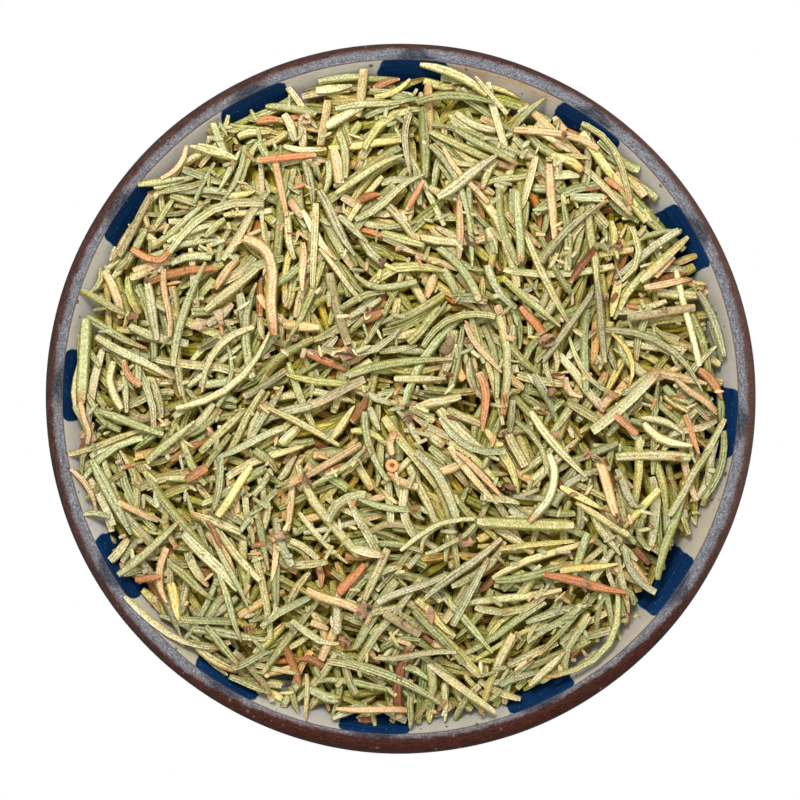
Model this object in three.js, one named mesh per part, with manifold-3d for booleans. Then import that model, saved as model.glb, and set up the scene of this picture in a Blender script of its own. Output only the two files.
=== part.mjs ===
// A small stoneware dish heaped with dried rosemary leaves. Millimetres, +Z up.
// The origin is the centre of the foot ring, on the surface that the dish stands on.
import * as THREE from "three";
import { mergeVertices } from "three/addons/utils/BufferGeometryUtils.js";
import Module from "manifold-3d";

const wasm = await Module();
wasm.setup();

// Dish
const DISH_RADIUS = 55;
const DISH_SIDES = 48;
const LIP_RADIUS = 1.6; // of the rolled lip's section
const LIP_CENTRE_Z = 33.4;
const LIP_START = -0.12 * Math.PI; // where the lip leaves the outer wall
const LIP_END = 0.84 * Math.PI; // where the lip meets the inner wall
const LIP_STEPS = 6;
const FLOOR_Z = 6; // inside floor at the centre
const UNDERSIDE_Z = 2; // ceiling of the recess inside the foot ring
const WALL_POWER = 2.6; // both walls rise with this power of the radius
const WALL_STEPS = 9;
const RING_SPREAD = 0.8; // below 1, the inner wall's rings stand closer near the lip
const FOOT_INNER_RADIUS = 22.4;
const FOOT_OUTER_RADIUS = 27;
const FOOT_BEVEL = 0.6;

const MERGE_DISTANCE = 1e-4; // points nearer than this are one point

// Heap
const HEAP_RADIUS = 49.5; // where the heap's top meets the inner wall
const HEAP_CROWN = 5.4; // how much higher the middle is than the edge
const LUMP_HEIGHT = 0.45;
const CLEARANCE = 0.5; // straight up, between the inner wall and the heap
const CORE_SINK = 0.4; // how far the packed core lies under the heap's top
const CORE_SIDES = DISH_SIDES / 2;
const DOME_SIDES = 16;
const DOME_STEPS = 4;
const DOME_RADIUS = 56;

// Loose leaves: real sizes of dried rosemary
const LEAF_WIDTH = [1.1, 1.6];
const LEAF_THICKNESS = 1.1;
const LEAF_LENGTH = [6, 13];
const LEAF_COUNT = 345;
const LEAF_REACH = 51; // no leaf lies further out
const ROOT_DEPTH = 1.3; // the lower end is sunk this deep in the core
const RAISED_END = 0.9; // and the upper end stands this far above it
const MOST_CONTACTS = 1; // leaves that a loose leaf may touch or cross
const BENT_SHARE = 0.15;
const MOST_BEND = 0.14; // of a leaf's length
const BENT_STEPS = 3;
const TIP_START = 0.8; // of the half length, beyond which a tip narrows
const BLUNT_TIP = 0.9; // share of the width that is left at the tip
const NARROW_TIP = 0.45;
const TRIES_PER_LEAF = 400;
const SEED = 20;

const lipCentreRadius = DISH_RADIUS - LIP_RADIUS;
const lipPoint = (angle) =>
  new THREE.Vector2(
    lipCentreRadius + LIP_RADIUS * Math.cos(angle),
    LIP_CENTRE_Z + LIP_RADIUS * Math.sin(angle),
  );
const wallStart = lipPoint(LIP_START);
const wallEnd = lipPoint(LIP_END);

// Heights of the outer and the inner wall at a radius.
const outerWallZ = (r) =>
  UNDERSIDE_Z + (wallStart.y - UNDERSIDE_Z) * Math.pow(r / wallStart.x, WALL_POWER);
const innerWallZ = (r) =>
  FLOOR_Z + (wallEnd.y - FLOOR_Z) * Math.pow(r / wallEnd.x, WALL_POWER);
const innerRingRadius = (step) => wallEnd.x * Math.pow(step / WALL_STEPS, RING_SPREAD);

// Turns a profile of radius and height round the Z axis.
function revolve(profile, sides) {
  const geometry = new THREE.LatheGeometry(profile, sides);
  geometry.rotateX(Math.PI / 2);
  return geometry;
}

function solidOf(geometry) {
  const bare = geometry.clone();
  bare.deleteAttribute("normal");
  bare.deleteAttribute("uv");
  const merged = mergeVertices(bare, MERGE_DISTANCE);
  const vertProperties = new Float32Array(merged.attributes.position.array);
  const triVerts = new Uint32Array(merged.index.array);
  return new wasm.Manifold(new wasm.Mesh({ numProp: 3, vertProperties, triVerts }));
}

function geometryOf(solid) {
  const { vertProperties, triVerts } = solid.getMesh();
  const geometry = new THREE.BufferGeometry();
  geometry.setAttribute("position", new THREE.BufferAttribute(vertProperties, 3));
  geometry.setIndex(new THREE.BufferAttribute(triVerts, 1));
  geometry.computeVertexNormals();
  return geometry;
}

// One fired piece: a foot ring, a flaring wall and a rolled lip.
function dishGeometry() {
  const profile = [
    new THREE.Vector2(0, UNDERSIDE_Z),
    new THREE.Vector2(FOOT_INNER_RADIUS, UNDERSIDE_Z),
    new THREE.Vector2(FOOT_INNER_RADIUS + FOOT_BEVEL, 0),
    new THREE.Vector2(FOOT_OUTER_RADIUS - FOOT_BEVEL, 0),
    new THREE.Vector2(FOOT_OUTER_RADIUS, FOOT_BEVEL),
  ];
  for (let i = 0; i < WALL_STEPS; i++) {
    const r = THREE.MathUtils.lerp(FOOT_OUTER_RADIUS, wallStart.x, i / WALL_STEPS);
    profile.push(new THREE.Vector2(r, outerWallZ(r)));
  }
  for (let i = 0; i < LIP_STEPS; i++) {
    profile.push(lipPoint(THREE.MathUtils.lerp(LIP_START, LIP_END, i / LIP_STEPS)));
  }
  for (let i = WALL_STEPS; i >= 0; i--) {
    const r = innerRingRadius(i);
    profile.push(new THREE.Vector2(r, innerWallZ(r)));
  }
  return revolve(profile, DISH_SIDES);
}

// Low, broad unevenness of the poured heap.
const lumpsZ = (x, y) =>
  LUMP_HEIGHT * (Math.sin(x / 9 + 1.3) * Math.cos(y / 11 - 0.4) + 0.5 * Math.sin((x + y) / 6));

// Height of the packed core's top. The unevenness dies out at the wall.
function coreTopZ(x, y) {
  const share = Math.hypot(x, y) / HEAP_RADIUS;
  const edgeZ = innerWallZ(HEAP_RADIUS) + CLEARANCE;
  const evenness = Math.max(0, 1 - Math.pow(share, 6));
  return edgeZ + HEAP_CROWN * (1 - share * share) + (lumpsZ(x, y) - CORE_SINK) * evenness;
}

// The packed leaves under the loose ones: a low dome, shaped below by the inside of the dish.
function coreSolid() {
  const ceilingZ = FLOOR_Z + DOME_RADIUS;
  const room = [];
  for (let i = 0; i <= WALL_STEPS; i++) {
    const r = innerRingRadius(i);
    room.push(new THREE.Vector2(r, innerWallZ(r) + CLEARANCE));
  }
  room.push(new THREE.Vector2(wallEnd.x, ceilingZ), new THREE.Vector2(0, ceilingZ));

  const dome = [new THREE.Vector2(0, 0), new THREE.Vector2(DOME_RADIUS, 0)];
  for (let i = DOME_STEPS; i >= 0; i--) {
    dome.push(new THREE.Vector2((DOME_RADIUS * i) / DOME_STEPS, FLOOR_Z));
  }
  const domeGeometry = revolve(dome, DOME_SIDES);
  const position = domeGeometry.attributes.position;
  for (let i = 0; i < position.count; i++) {
    const isTop = position.getZ(i) > FLOOR_Z / 2;
    if (isTop) position.setZ(i, coreTopZ(position.getX(i), position.getY(i)));
  }
  return solidOf(revolve(room, CORE_SIDES)).intersect(solidOf(domeGeometry));
}

// A leaf with a three-sided section, ridge up, from one end point to the other.
function leafSolid({ from, to, bend, width, tips }) {
  const along = new THREE.Vector3().subVectors(to, from);
  const half = along.length() / 2;
  const path = new THREE.QuadraticBezierCurve3(
    new THREE.Vector3(-half, 0, 0),
    new THREE.Vector3(0, 2 * bend, 0),
    new THREE.Vector3(half, 0, 0),
  );
  const section = new THREE.Shape([
    new THREE.Vector2(0, -width / 2),
    new THREE.Vector2(0, width / 2),
    new THREE.Vector2(-LEAF_THICKNESS, 0),
  ]);
  const steps = bend === 0 ? 1 : BENT_STEPS;
  const leaf = new THREE.ExtrudeGeometry(section, { steps, extrudePath: path });
  const position = leaf.attributes.position;
  for (let i = 0; i < position.count; i++) {
    const x = position.getX(i);
    if (Math.abs(x) < TIP_START * half) continue;
    const tip = x < 0 ? tips[0] : tips[1];
    position.setY(i, position.getY(i) * tip);
    position.setZ(i, position.getZ(i) * tip);
  }
  const xAxis = along.normalize();
  const yAxis = new THREE.Vector3(0, 0, 1).cross(xAxis).normalize();
  const zAxis = new THREE.Vector3().crossVectors(xAxis, yAxis);
  const place = new THREE.Matrix4().makeBasis(xAxis, yAxis, zAxis);
  place.setPosition(new THREE.Vector3().addVectors(from, to).multiplyScalar(0.5));
  return solidOf(leaf.applyMatrix4(place));
}

// Distance in plan from a point to a leaf's straight line.
function planDistance(point, leaf) {
  const dx = leaf.to.x - leaf.from.x;
  const dy = leaf.to.y - leaf.from.y;
  const along = (point.x - leaf.from.x) * dx + (point.y - leaf.from.y) * dy;
  const t = THREE.MathUtils.clamp(along / (dx * dx + dy * dy), 0, 1);
  return Math.hypot(point.x - leaf.from.x - t * dx, point.y - leaf.from.y - t * dy);
}

function linesCross(a, b) {
  const side = (line, p) =>
    (line.to.x - line.from.x) * (p.y - line.from.y) - (line.to.y - line.from.y) * (p.x - line.from.x);
  return side(a, b.from) * side(a, b.to) < 0 && side(b, a.from) * side(b, a.to) < 0;
}

function touch(a, b) {
  const gap = (a.width + b.width) / 2;
  const fromEnds = [
    planDistance(a.from, b),
    planDistance(a.to, b),
    planDistance(b.from, a),
    planDistance(b.to, a),
  ];
  return linesCross(a, b) || Math.min(...fromEnds) < gap;
}

// A point at a height over the core, raised where it would come too near the inner wall.
function pointOnHeap(x, y, height, width) {
  const overWall = innerWallZ(Math.hypot(x, y) + width / 2) + CLEARANCE;
  return new THREE.Vector3(x, y, Math.max(coreTopZ(x, y) + height, overWall));
}

// Small numbers in a fixed order, so that every build places the leaves alike.
function seededRandom(seed) {
  let state = seed >>> 0;
  return () => {
    state = (state + 0x6d2b79f5) >>> 0;
    let t = state;
    t = Math.imul(t ^ (t >>> 15), t | 1);
    t ^= t + Math.imul(t ^ (t >>> 7), t | 61);
    return ((t ^ (t >>> 14)) >>> 0) / 4294967296;
  };
}

// Leaves in every direction, each with its root sunk in the core where there is room for it.
function looseLeaves() {
  const random = seededRandom(SEED);
  const placed = [];
  const mostTries = LEAF_COUNT * TRIES_PER_LEAF;
  for (let tries = 0; placed.length < LEAF_COUNT && tries < mostTries; tries++) {
    const r = LEAF_REACH * Math.sqrt(random());
    const place = random() * 2 * Math.PI;
    const heading = random() * 2 * Math.PI;
    const length = THREE.MathUtils.lerp(...LEAF_LENGTH, random());
    const width = THREE.MathUtils.lerp(...LEAF_WIDTH, random());
    const bend = random() < BENT_SHARE ? (2 * random() - 1) * MOST_BEND * length : 0;
    const tips = [1, random() < 0.5 ? BLUNT_TIP : NARROW_TIP];
    const x = r * Math.cos(place);
    const y = r * Math.sin(place);
    const dx = (Math.cos(heading) * length) / 2;
    const dy = (Math.sin(heading) * length) / 2;
    const reach = Math.max(Math.hypot(x - dx, y - dy), Math.hypot(x + dx, y + dy));
    if (reach + Math.abs(bend) > LEAF_REACH) continue;
    const from = pointOnHeap(x - dx, y - dy, -ROOT_DEPTH, width);
    const to = pointOnHeap(x + dx, y + dy, RAISED_END, width);
    const leaf = { from, to, bend, width, tips };
    const contacts = placed.filter((other) => touch(leaf, other)).length;
    if (contacts <= MOST_CONTACTS) placed.push(leaf);
  }
  return placed;
}

function heapGeometry() {
  const fused = wasm.Manifold.union([coreSolid(), ...looseLeaves().map(leafSolid)]);
  const bodies = fused.decompose().sort((a, b) => b.volume() - a.volume());
  return geometryOf(bodies[0]);
}

function piece(name, geometry, color, roughness) {
  const material = new THREE.MeshStandardMaterial({ color, roughness, metalness: 0 });
  const mesh = new THREE.Mesh(geometry, material);
  mesh.name = name;
  return mesh;
}

const part = new THREE.Group();
part.add(piece("dish", dishGeometry(), 0x5a463c, 0.35));
part.add(piece("leaf_heap", heapGeometry(), 0xa4985f, 0.85));

export default part;
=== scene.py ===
# %% [markdown]
# # A small dish heaped with dried rosemary
#
# A round stoneware dish, 11 cm across, is seen from straight above. It is heaped with loose dried
# rosemary leaves and a few bits of stem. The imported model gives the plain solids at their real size.
# This lesson dresses them: a glazed and painted dish, and a few thousand separate leaves that lie on
# each other as poured.

# %% Load the fixed frame
import math

import bpy
import numpy as np
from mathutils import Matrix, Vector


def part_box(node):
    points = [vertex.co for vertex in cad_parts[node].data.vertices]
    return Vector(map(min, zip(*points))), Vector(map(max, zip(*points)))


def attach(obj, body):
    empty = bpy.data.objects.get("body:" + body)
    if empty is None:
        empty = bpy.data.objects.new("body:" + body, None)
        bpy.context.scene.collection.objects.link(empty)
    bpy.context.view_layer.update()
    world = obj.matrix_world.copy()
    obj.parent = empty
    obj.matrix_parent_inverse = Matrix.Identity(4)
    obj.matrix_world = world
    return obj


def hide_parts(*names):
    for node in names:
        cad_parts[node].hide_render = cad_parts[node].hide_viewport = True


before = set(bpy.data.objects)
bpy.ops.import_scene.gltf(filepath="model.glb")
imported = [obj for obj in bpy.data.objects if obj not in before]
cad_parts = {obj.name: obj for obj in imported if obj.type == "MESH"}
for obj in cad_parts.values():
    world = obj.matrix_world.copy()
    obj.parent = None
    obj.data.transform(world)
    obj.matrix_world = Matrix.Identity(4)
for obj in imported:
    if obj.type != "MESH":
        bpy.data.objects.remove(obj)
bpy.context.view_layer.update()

MM = 0.001
dish_low, dish_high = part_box("dish")
heap_low, heap_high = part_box("leaf_heap")
print("dish", [round((b - a) / MM, 1) for a, b in zip(dish_low, dish_high)], "mm")
print("heap", [round((b - a) / MM, 1) for a, b in zip(heap_low, heap_high)], "mm")

# %% [markdown]
# ## Camera
#
# The photograph looks straight down, so a camera without any turn does: it looks along -Z with +Y
# up in the picture. It could be orthographic, but a real camera hangs about an arm's length above a
# table, and then the lip hides a little of the wall under it. So it is a long lens at that distance.
# Its scale is set where the lip is widest, because the dish's size is read there.

# %% Camera over the dish
FRAME_PX = 800
MM_PER_PX = 0.155
DISH_CENTRE_PX = (400.5, 398.5)
WIDEST_BELOW_LIP = 1.6 * MM
CAMERA_ABOVE_LIP = 350 * MM
SENSOR_MM = 36

lip_top = dish_high[2]
seen_width = FRAME_PX * MM_PER_PX * MM
camera_data = bpy.data.cameras.new("camera")
camera_data.sensor_width = SENSOR_MM
camera_data.lens = SENSOR_MM * (CAMERA_ABOVE_LIP + WIDEST_BELOW_LIP) / seen_width
camera_data.clip_start = 0.01
camera = bpy.data.objects.new("camera", camera_data)
camera.location = (
    (FRAME_PX / 2 - DISH_CENTRE_PX[0]) * MM_PER_PX * MM,
    (DISH_CENTRE_PX[1] - FRAME_PX / 2) * MM_PER_PX * MM,
    lip_top + CAMERA_ABOVE_LIP,
)
bpy.context.scene.collection.objects.link(camera)
bpy.context.scene.camera = camera
bpy.context.scene.view_settings.view_transform = "Standard"
print("lens", round(camera_data.lens, 1), "mm")

# %% [markdown]
# ## Light and floor
#
# The picture was taken in bright, even light, with short crisp shadows between the leaves. An even
# pale sky gives the first, and one large lamp towards the far side of the dish gives the second. A
# smaller lamp would cut harder shadows than the photograph shows.

# %% Sky, lamp and floor
SKY_STRENGTH = 0.985
LAMP_PLACE = (-0.06, 0.2, 0.38)
LAMP_SIZE = 0.11
LAMP_WATTS = 1.5
FLOOR_GAP = 0.02 * MM


def aim(lamp, target):
    to_target = np.array(target) - np.array(lamp.location)
    flat = math.hypot(to_target[0], to_target[1])
    tilt = math.atan2(flat, -to_target[2])
    turn = math.atan2(to_target[1], to_target[0]) - math.pi / 2
    lamp.rotation_euler = (tilt, 0, turn)


world = bpy.data.worlds.new("sky")
world.use_nodes = True
world.node_tree.nodes["Background"].inputs["Color"].default_value = (1, 1, 1, 1)
world.node_tree.nodes["Background"].inputs["Strength"].default_value = SKY_STRENGTH
bpy.context.scene.world = world

lamp_data = bpy.data.lights.new("lamp", "AREA")
lamp_data.energy = LAMP_WATTS
lamp_data.size = LAMP_SIZE
lamp = bpy.data.objects.new("lamp", lamp_data)
lamp.location = LAMP_PLACE
bpy.context.scene.collection.objects.link(lamp)
aim(lamp, (0, 0, lip_top))

bpy.ops.object.select_all(action="DESELECT")
bpy.ops.mesh.primitive_plane_add(size=3, location=(0, 0, -FLOOR_GAP))
floor = bpy.context.active_object
floor.name = "floor"
floor_material = bpy.data.materials.new("pale_floor")
floor_material.use_nodes = True
floor_shader = floor_material.node_tree.nodes["Principled BSDF"]
floor_shader.inputs["Base Color"].default_value = (0, 0, 0, 1)
floor_shader.inputs["Specular IOR Level"].default_value = 0
floor_shader.inputs["Emission Color"].default_value = (1, 1, 1, 1)
floor_shader.inputs["Emission Strength"].default_value = 1
floor.data.materials.append(floor_material)

# %% [markdown]
# ## A bench of helpers
#
# Node trees are long to write out, so a small class adds nodes and joins them in one line each. What
# a node gives is a wire, and a sum with a wire adds the node that works it out. Every pattern below
# reads Object coordinates in millimetres, because a number such as "0.4 mm specks" is then true on
# the real thing.

# %% Helpers for node trees
def srgb(red, green, blue):
    """A colour as read off a screen, turned into the linear light that shaders use."""
    linear = []
    for value in (red, green, blue):
        share = value / 255
        linear.append(share / 12.92 if share <= 0.04045 else ((share + 0.055) / 1.055) ** 2.4)
    return (*linear, 1.0)


class Wire:
    """One output of a node. Sums with it add math nodes."""

    def __init__(self, tree, socket):
        self.tree = tree
        self.socket = socket

    def beside(self, output):
        """Another output of the same node."""
        return Wire(self.tree, self.socket.node.outputs[output])

    def __add__(self, other):
        return self.tree.math("ADD", self, other)

    def __sub__(self, other):
        return self.tree.math("SUBTRACT", self, other)

    def __rsub__(self, other):
        return self.tree.math("SUBTRACT", other, self)

    def __mul__(self, other):
        return self.tree.math("MULTIPLY", self, other)

    def __abs__(self):
        return self.tree.math("ABSOLUTE", self)

    __radd__ = __add__
    __rmul__ = __mul__


class Tree:
    """Adds nodes to a material or a node group, and joins them."""

    def __init__(self, tree):
        self.tree = tree

    def feed(self, socket, value):
        if isinstance(value, Wire):
            self.tree.links.new(value.socket, socket)
        elif value is not None:
            socket.default_value = value

    def node(self, kind, output, inputs=(), **settings):
        """Adds a node, feeds its inputs and returns one of its outputs."""
        made = self.tree.nodes.new(kind)
        for name, value in settings.items():
            setattr(made, name, value)
        for name, value in dict(inputs).items():
            self.feed(made.inputs[name], value)
        return Wire(self, made.outputs[output])

    def math(self, operation, a, b=None):
        return self.node("ShaderNodeMath", 0, {0: a, 1: b}, operation=operation)

    def vector(self, operation, a, b=None):
        output = "Value" if operation in ("DOT_PRODUCT", "LENGTH") else "Vector"
        return self.node("ShaderNodeVectorMath", output, {0: a, 1: b}, operation=operation)

    def scaled(self, vector, scale):
        inputs = {0: vector, "Scale": scale}
        return self.node("ShaderNodeVectorMath", "Vector", inputs, operation="SCALE")

    def object_mm(self):
        """Object coordinates in millimetres."""
        return self.scaled(self.node("ShaderNodeTexCoord", "Object"), 1 / MM)

    def ramp(self, value, low, high, to_low=0.0, to_high=1.0):
        """A soft step: to_low where value is at low, to_high where it is at high."""
        inputs = {"Value": value, "From Min": low, "From Max": high, "To Min": to_low, "To Max": to_high}
        return self.node("ShaderNodeMapRange", "Result", inputs, interpolation_type="SMOOTHSTEP")

    def mix(self, share, a, b):
        """a where share is 0, b where it is 1. A plain colour is given as read off a screen."""
        a, b = (srgb(*colour) if isinstance(colour, tuple) else colour for colour in (a, b))
        return self.node("ShaderNodeMix", 2, {0: share, 6: a, 7: b}, data_type="RGBA")

    def layers(self, colour, *layers):
        """Lays colours over a first one. Each layer is a mask and a colour."""
        for mask, over in layers:
            colour = self.mix(mask, colour, over)
        return colour

    def filtered(self, share, colour, factors):
        """The colour, multiplied by the factors where share is 1."""
        return self.mix(share, colour, self.vector("MULTIPLY", colour, factors))

    def noise(self, vector, scale, detail=2.0, rough=0.5, output="Fac"):
        inputs = {"Vector": vector, "Scale": scale, "Detail": detail, "Roughness": rough}
        return self.node("ShaderNodeTexNoise", output, inputs)

    def group(self, group, **inputs):
        """Places a node group and returns its first output."""
        named = {name.replace("_", " ").capitalize(): value for name, value in inputs.items()}
        return self.node("ShaderNodeGroup", 0, named, node_tree=group)

    def bump(self, shader, height, strength, depth_mm):
        inputs = {"Strength": strength, "Distance": depth_mm * MM, "Height": height}
        self.feed(shader["Normal"], self.node("ShaderNodeBump", "Normal", inputs))


NUMBER = "NodeSocketFloat"
VECTOR = "NodeSocketVector"
COLOUR = "NodeSocketColor"


def new_group(name, inputs, outputs):
    """An empty node group. inputs and outputs are rows of name, socket kind and, if any, default."""
    group = bpy.data.node_groups.new(name, "ShaderNodeTree")
    for in_out, rows in (("INPUT", inputs), ("OUTPUT", outputs)):
        for title, kind, *default in rows:
            socket = group.interface.new_socket(title, in_out=in_out, socket_type=kind)
            if default:
                socket.default_value = default[0]
    tree = Tree(group)
    sockets = group.nodes.new("NodeGroupInput").outputs
    given = {socket.name: Wire(tree, socket) for socket in sockets}
    return group, tree, given, group.nodes.new("NodeGroupOutput").inputs


def new_material(name):
    material = bpy.data.materials.new(name)
    material.use_nodes = True
    return material, Tree(material.node_tree), material.node_tree.nodes["Principled BSDF"].inputs


# %% [markdown]
# ## Patterns that several finishes share
#
# Glaze and dry leaf are both mottled, and both have small dark specks, so each of these is a node
# group that is built once. The mottle mixes a broad cloud with a fine one. The specks are the
# middles of Voronoi cells: a cell's own random number decides whether it has a speck and how big.

# %% Node groups: mottle and specks
mottle, t, given, gives = new_group(
    "mottle",
    [("Vector", VECTOR), ("Scale", NUMBER, 1.0), ("Contrast", NUMBER, 0.5)],
    [("Mask", NUMBER)],
)
broad = t.noise(given["Vector"], given["Scale"], 3.0, 0.6)
fine = t.noise(given["Vector"], given["Scale"] * 4.3)
spread = given["Contrast"] * 0.25
t.feed(gives["Mask"], t.ramp(broad * 0.6 + fine * 0.4, 0.5 - spread, 0.5 + spread))

specks, t, given, gives = new_group(
    "specks",
    [("Vector", VECTOR), ("Per mm", NUMBER, 0.5), ("Share", NUMBER, 0.2), ("Size", NUMBER, 0.2)],
    [("Mask", NUMBER)],
)
inputs = {"Vector": given["Vector"], "Scale": given["Per mm"]}
from_middle = t.node("ShaderNodeTexVoronoi", "Distance", inputs)
lot = t.node("ShaderNodeSeparateColor", 0, {0: from_middle.beside("Color")})
has_speck = t.math("LESS_THAN", lot, given["Share"])
speck_size = given["Size"] * (lot.beside(1) + 0.35)
t.feed(gives["Mask"], has_speck * t.ramp(from_middle, speck_size, speck_size * 0.45))


def mottled(t, vector, scale, contrast):
    """The mottle, placed in a tree."""
    return t.group(mottle, vector=vector, scale=scale, contrast=contrast)


def speckled(t, vector, per_mm, share, size):
    """The specks, placed in a tree: cells a millimetre, share of them with a speck, and its size."""
    return t.group(specks, vector=vector, per_mm=per_mm, share=share, size=size)


# %% [markdown]
# ## The dish
#
# The real dish was thrown on a wheel, so it is modelled the same way: half of its outline is drawn
# point by point with extrude, and the spin operator turns it round the axis. A subdivided cylinder
# would do as well, but a spun outline keeps the foot ring, the thin wall and the rolled lip at their
# real measures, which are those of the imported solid.

# %% Outline of the dish
LIP_RADIUS = 1.6
LIP_CENTRE_Z = lip_top / MM - LIP_RADIUS
LIP_CENTRE_R = 53.4
LIP_FROM = math.radians(-21.6)
LIP_TO = math.radians(151.2)
FLOOR_Z = 6.0
UNDERSIDE_Z = 2.0
WALL_POWER = 2.6
FOOT_IN, FOOT_OUT = 22.4, 27.0
THROWING_RIDGE = 0.05
RIDGE_PITCH = 2.4


def lip_point(angle):
    return LIP_CENTRE_R + LIP_RADIUS * math.cos(angle), LIP_CENTRE_Z + LIP_RADIUS * math.sin(angle)


outer_end = lip_point(LIP_FROM)
inner_end = lip_point(LIP_TO)


def outer_wall(r):
    return UNDERSIDE_Z + (outer_end[1] - UNDERSIDE_Z) * (r / outer_end[0]) ** WALL_POWER


def inner_wall(r):
    return FLOOR_Z + (inner_end[1] - FLOOR_Z) * (r / inner_end[0]) ** WALL_POWER


def dish_outline():
    """(radius, height) points in millimetres, from under the middle, round the lip, to the floor."""
    points = [(0, UNDERSIDE_Z), (FOOT_IN - 1.5, UNDERSIDE_Z), (FOOT_IN - 0.3, UNDERSIDE_Z - 0.3)]
    points += [(FOOT_IN, UNDERSIDE_Z - 1.0), (FOOT_IN + 0.2, 0.5), (FOOT_IN + 0.8, 0)]
    points += [(FOOT_OUT - 0.9, 0), (FOOT_OUT - 0.25, 0.25), (FOOT_OUT, 0.9)]
    points += [(FOOT_OUT - 0.15, 3.2), (FOOT_OUT, outer_wall(FOOT_OUT) - 0.9)]
    for share in np.linspace(0.02, 0.985, 34):
        r = FOOT_OUT + share * (outer_end[0] - FOOT_OUT)
        ridge = THROWING_RIDGE * math.sin(2 * math.pi * (r - FOOT_OUT) / RIDGE_PITCH)
        points.append((r, outer_wall(r) + ridge))
    points += [lip_point(angle) for angle in np.linspace(LIP_FROM, LIP_TO, 22)]
    for share in np.linspace(0.985, 0, 30):
        r = inner_end[0] * share**0.8
        points.append((r, inner_wall(r)))
    return np.array(points)


outline = dish_outline()
print("outline of", len(outline), "points")

# %% [markdown]
# The spin needs an outline in edit mode. A plane merged to one point is the start, and each extrude
# adds the next point, as a pencil would. After the spin the first and the last copy lie on each
# other, as do the points on the axis, so doubles are merged before the normals are set.

# %% Draw and spin
SPIN_STEPS = 288
MERGE = 0.001 * MM
SMOOTH_BELOW = math.radians(50)


def select_only(piece):
    bpy.ops.object.select_all(action="DESELECT")
    piece.select_set(True)
    bpy.context.view_layer.objects.active = piece


def end_drawing():
    """Turns all faces outwards and leaves edit mode."""
    bpy.ops.mesh.select_all(action="SELECT")
    bpy.ops.mesh.normals_make_consistent(inside=False)
    bpy.ops.object.mode_set(mode="OBJECT")


def turned(name, points_mm, steps):
    """A closed shape of revolution from (radius, height) points in millimetres."""
    points = [(r * MM, 0, z * MM) for r, z in points_mm]
    bpy.ops.object.select_all(action="DESELECT")
    bpy.ops.mesh.primitive_plane_add(size=MM, location=(0, 0, 0))
    piece = bpy.context.active_object
    piece.name = name
    bpy.ops.object.mode_set(mode="EDIT")
    bpy.ops.mesh.select_all(action="SELECT")
    bpy.ops.mesh.merge(type="CENTER")
    bpy.ops.transform.translate(value=points[0])
    for before, after in zip(points, points[1:]):
        step = [b - a for a, b in zip(before, after)]
        bpy.ops.mesh.extrude_vertices_move(TRANSFORM_OT_translate={"value": step})
    bpy.ops.mesh.select_all(action="SELECT")
    bpy.ops.mesh.spin(steps=steps, angle=2 * math.pi, center=(0, 0, 0), axis=(0, 0, 1))
    bpy.ops.mesh.select_all(action="SELECT")
    bpy.ops.mesh.remove_doubles(threshold=MERGE)
    end_drawing()
    return piece


def vertex_places(piece):
    flat = np.empty(len(piece.data.vertices) * 3)
    piece.data.vertices.foreach_get("co", flat)
    return flat.reshape(-1, 3)


def open_edges(piece):
    """How many edges don't have exactly two faces. A closed shell has none."""
    uses = np.zeros(len(piece.data.edges), int)
    for polygon in piece.data.polygons:
        for key in range(polygon.loop_start, polygon.loop_start + polygon.loop_total):
            uses[piece.data.loops[key].edge_index] += 1
    return int((uses != 2).sum())


dish = turned("stoneware_dish", outline, SPIN_STEPS)
print("dish", len(dish.data.polygons), "faces,", open_edges(dish), "open edges")

# %% [markdown]
# The glaze changes along the outline: bare clay under the foot, brown outside, grey on the lip, pale
# inside. So every point of the mesh keeps how far along the outline it lies, measured from the top
# of the lip, as a number that the material reads. That is done before the wall is made uneven.
#
# No thrown dish is perfectly round, so a Displace modifier with a broad cloud texture then moves the
# surface by a tenth of a millimetre or two. A potter grinds the foot flat afterwards, and here too
# what went below the table is brought back up to it.

# %% Distance along the outline, and unevenness
UNEVEN_SIZE = 28 * MM
UNEVEN_DEPTH = 0.28 * MM

lengths = np.hypot(*np.diff(outline, axis=0).T)
runs = np.concatenate([[0], np.cumsum(lengths)])
runs -= runs[np.argmax(outline[:, 1])]
places = vertex_places(dish) / MM
radii = np.hypot(places[:, 0], places[:, 1])
gaps = (radii[:, None] - outline[:, 0]) ** 2 + (places[:, 2][:, None] - outline[:, 1]) ** 2
run_layer = dish.data.attributes.new("run", "FLOAT", "POINT")
run_layer.data.foreach_set("value", runs[gaps.argmin(1)].astype(np.float32))

cloud = bpy.data.textures.new("hand_thrown", "CLOUDS")
cloud.noise_scale = UNEVEN_SIZE
uneven = dish.modifiers.new("uneven", "DISPLACE")
uneven.texture = cloud
uneven.texture_coords = "LOCAL"
uneven.strength = UNEVEN_DEPTH
select_only(dish)
bpy.ops.object.modifier_apply(modifier="uneven")
ground_flat = vertex_places(dish)
ground_flat[:, 2] = np.maximum(ground_flat[:, 2], 0)
dish.data.vertices.foreach_set("co", ground_flat.ravel())
dish.data.update()
bpy.ops.object.shade_smooth_by_angle(angle=SMOOTH_BELOW)
print("run goes from", round(runs.min(), 1), "to", round(runs.max(), 1), "mm")

# %% [markdown]
# ## Painted squares
#
# Twelve dark blue squares were painted by hand round the inside of the wall. They aren't quite evenly
# spaced, so each has its own direction from the middle. One node group draws a square with rounded
# corners: across is the distance sideways from its middle line, and down is the distance below the
# lip. It could be an image, but a formula stays sharp at any size. The group also gives the haze of
# paint that each square leaves on the lip, which narrows outwards.

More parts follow.
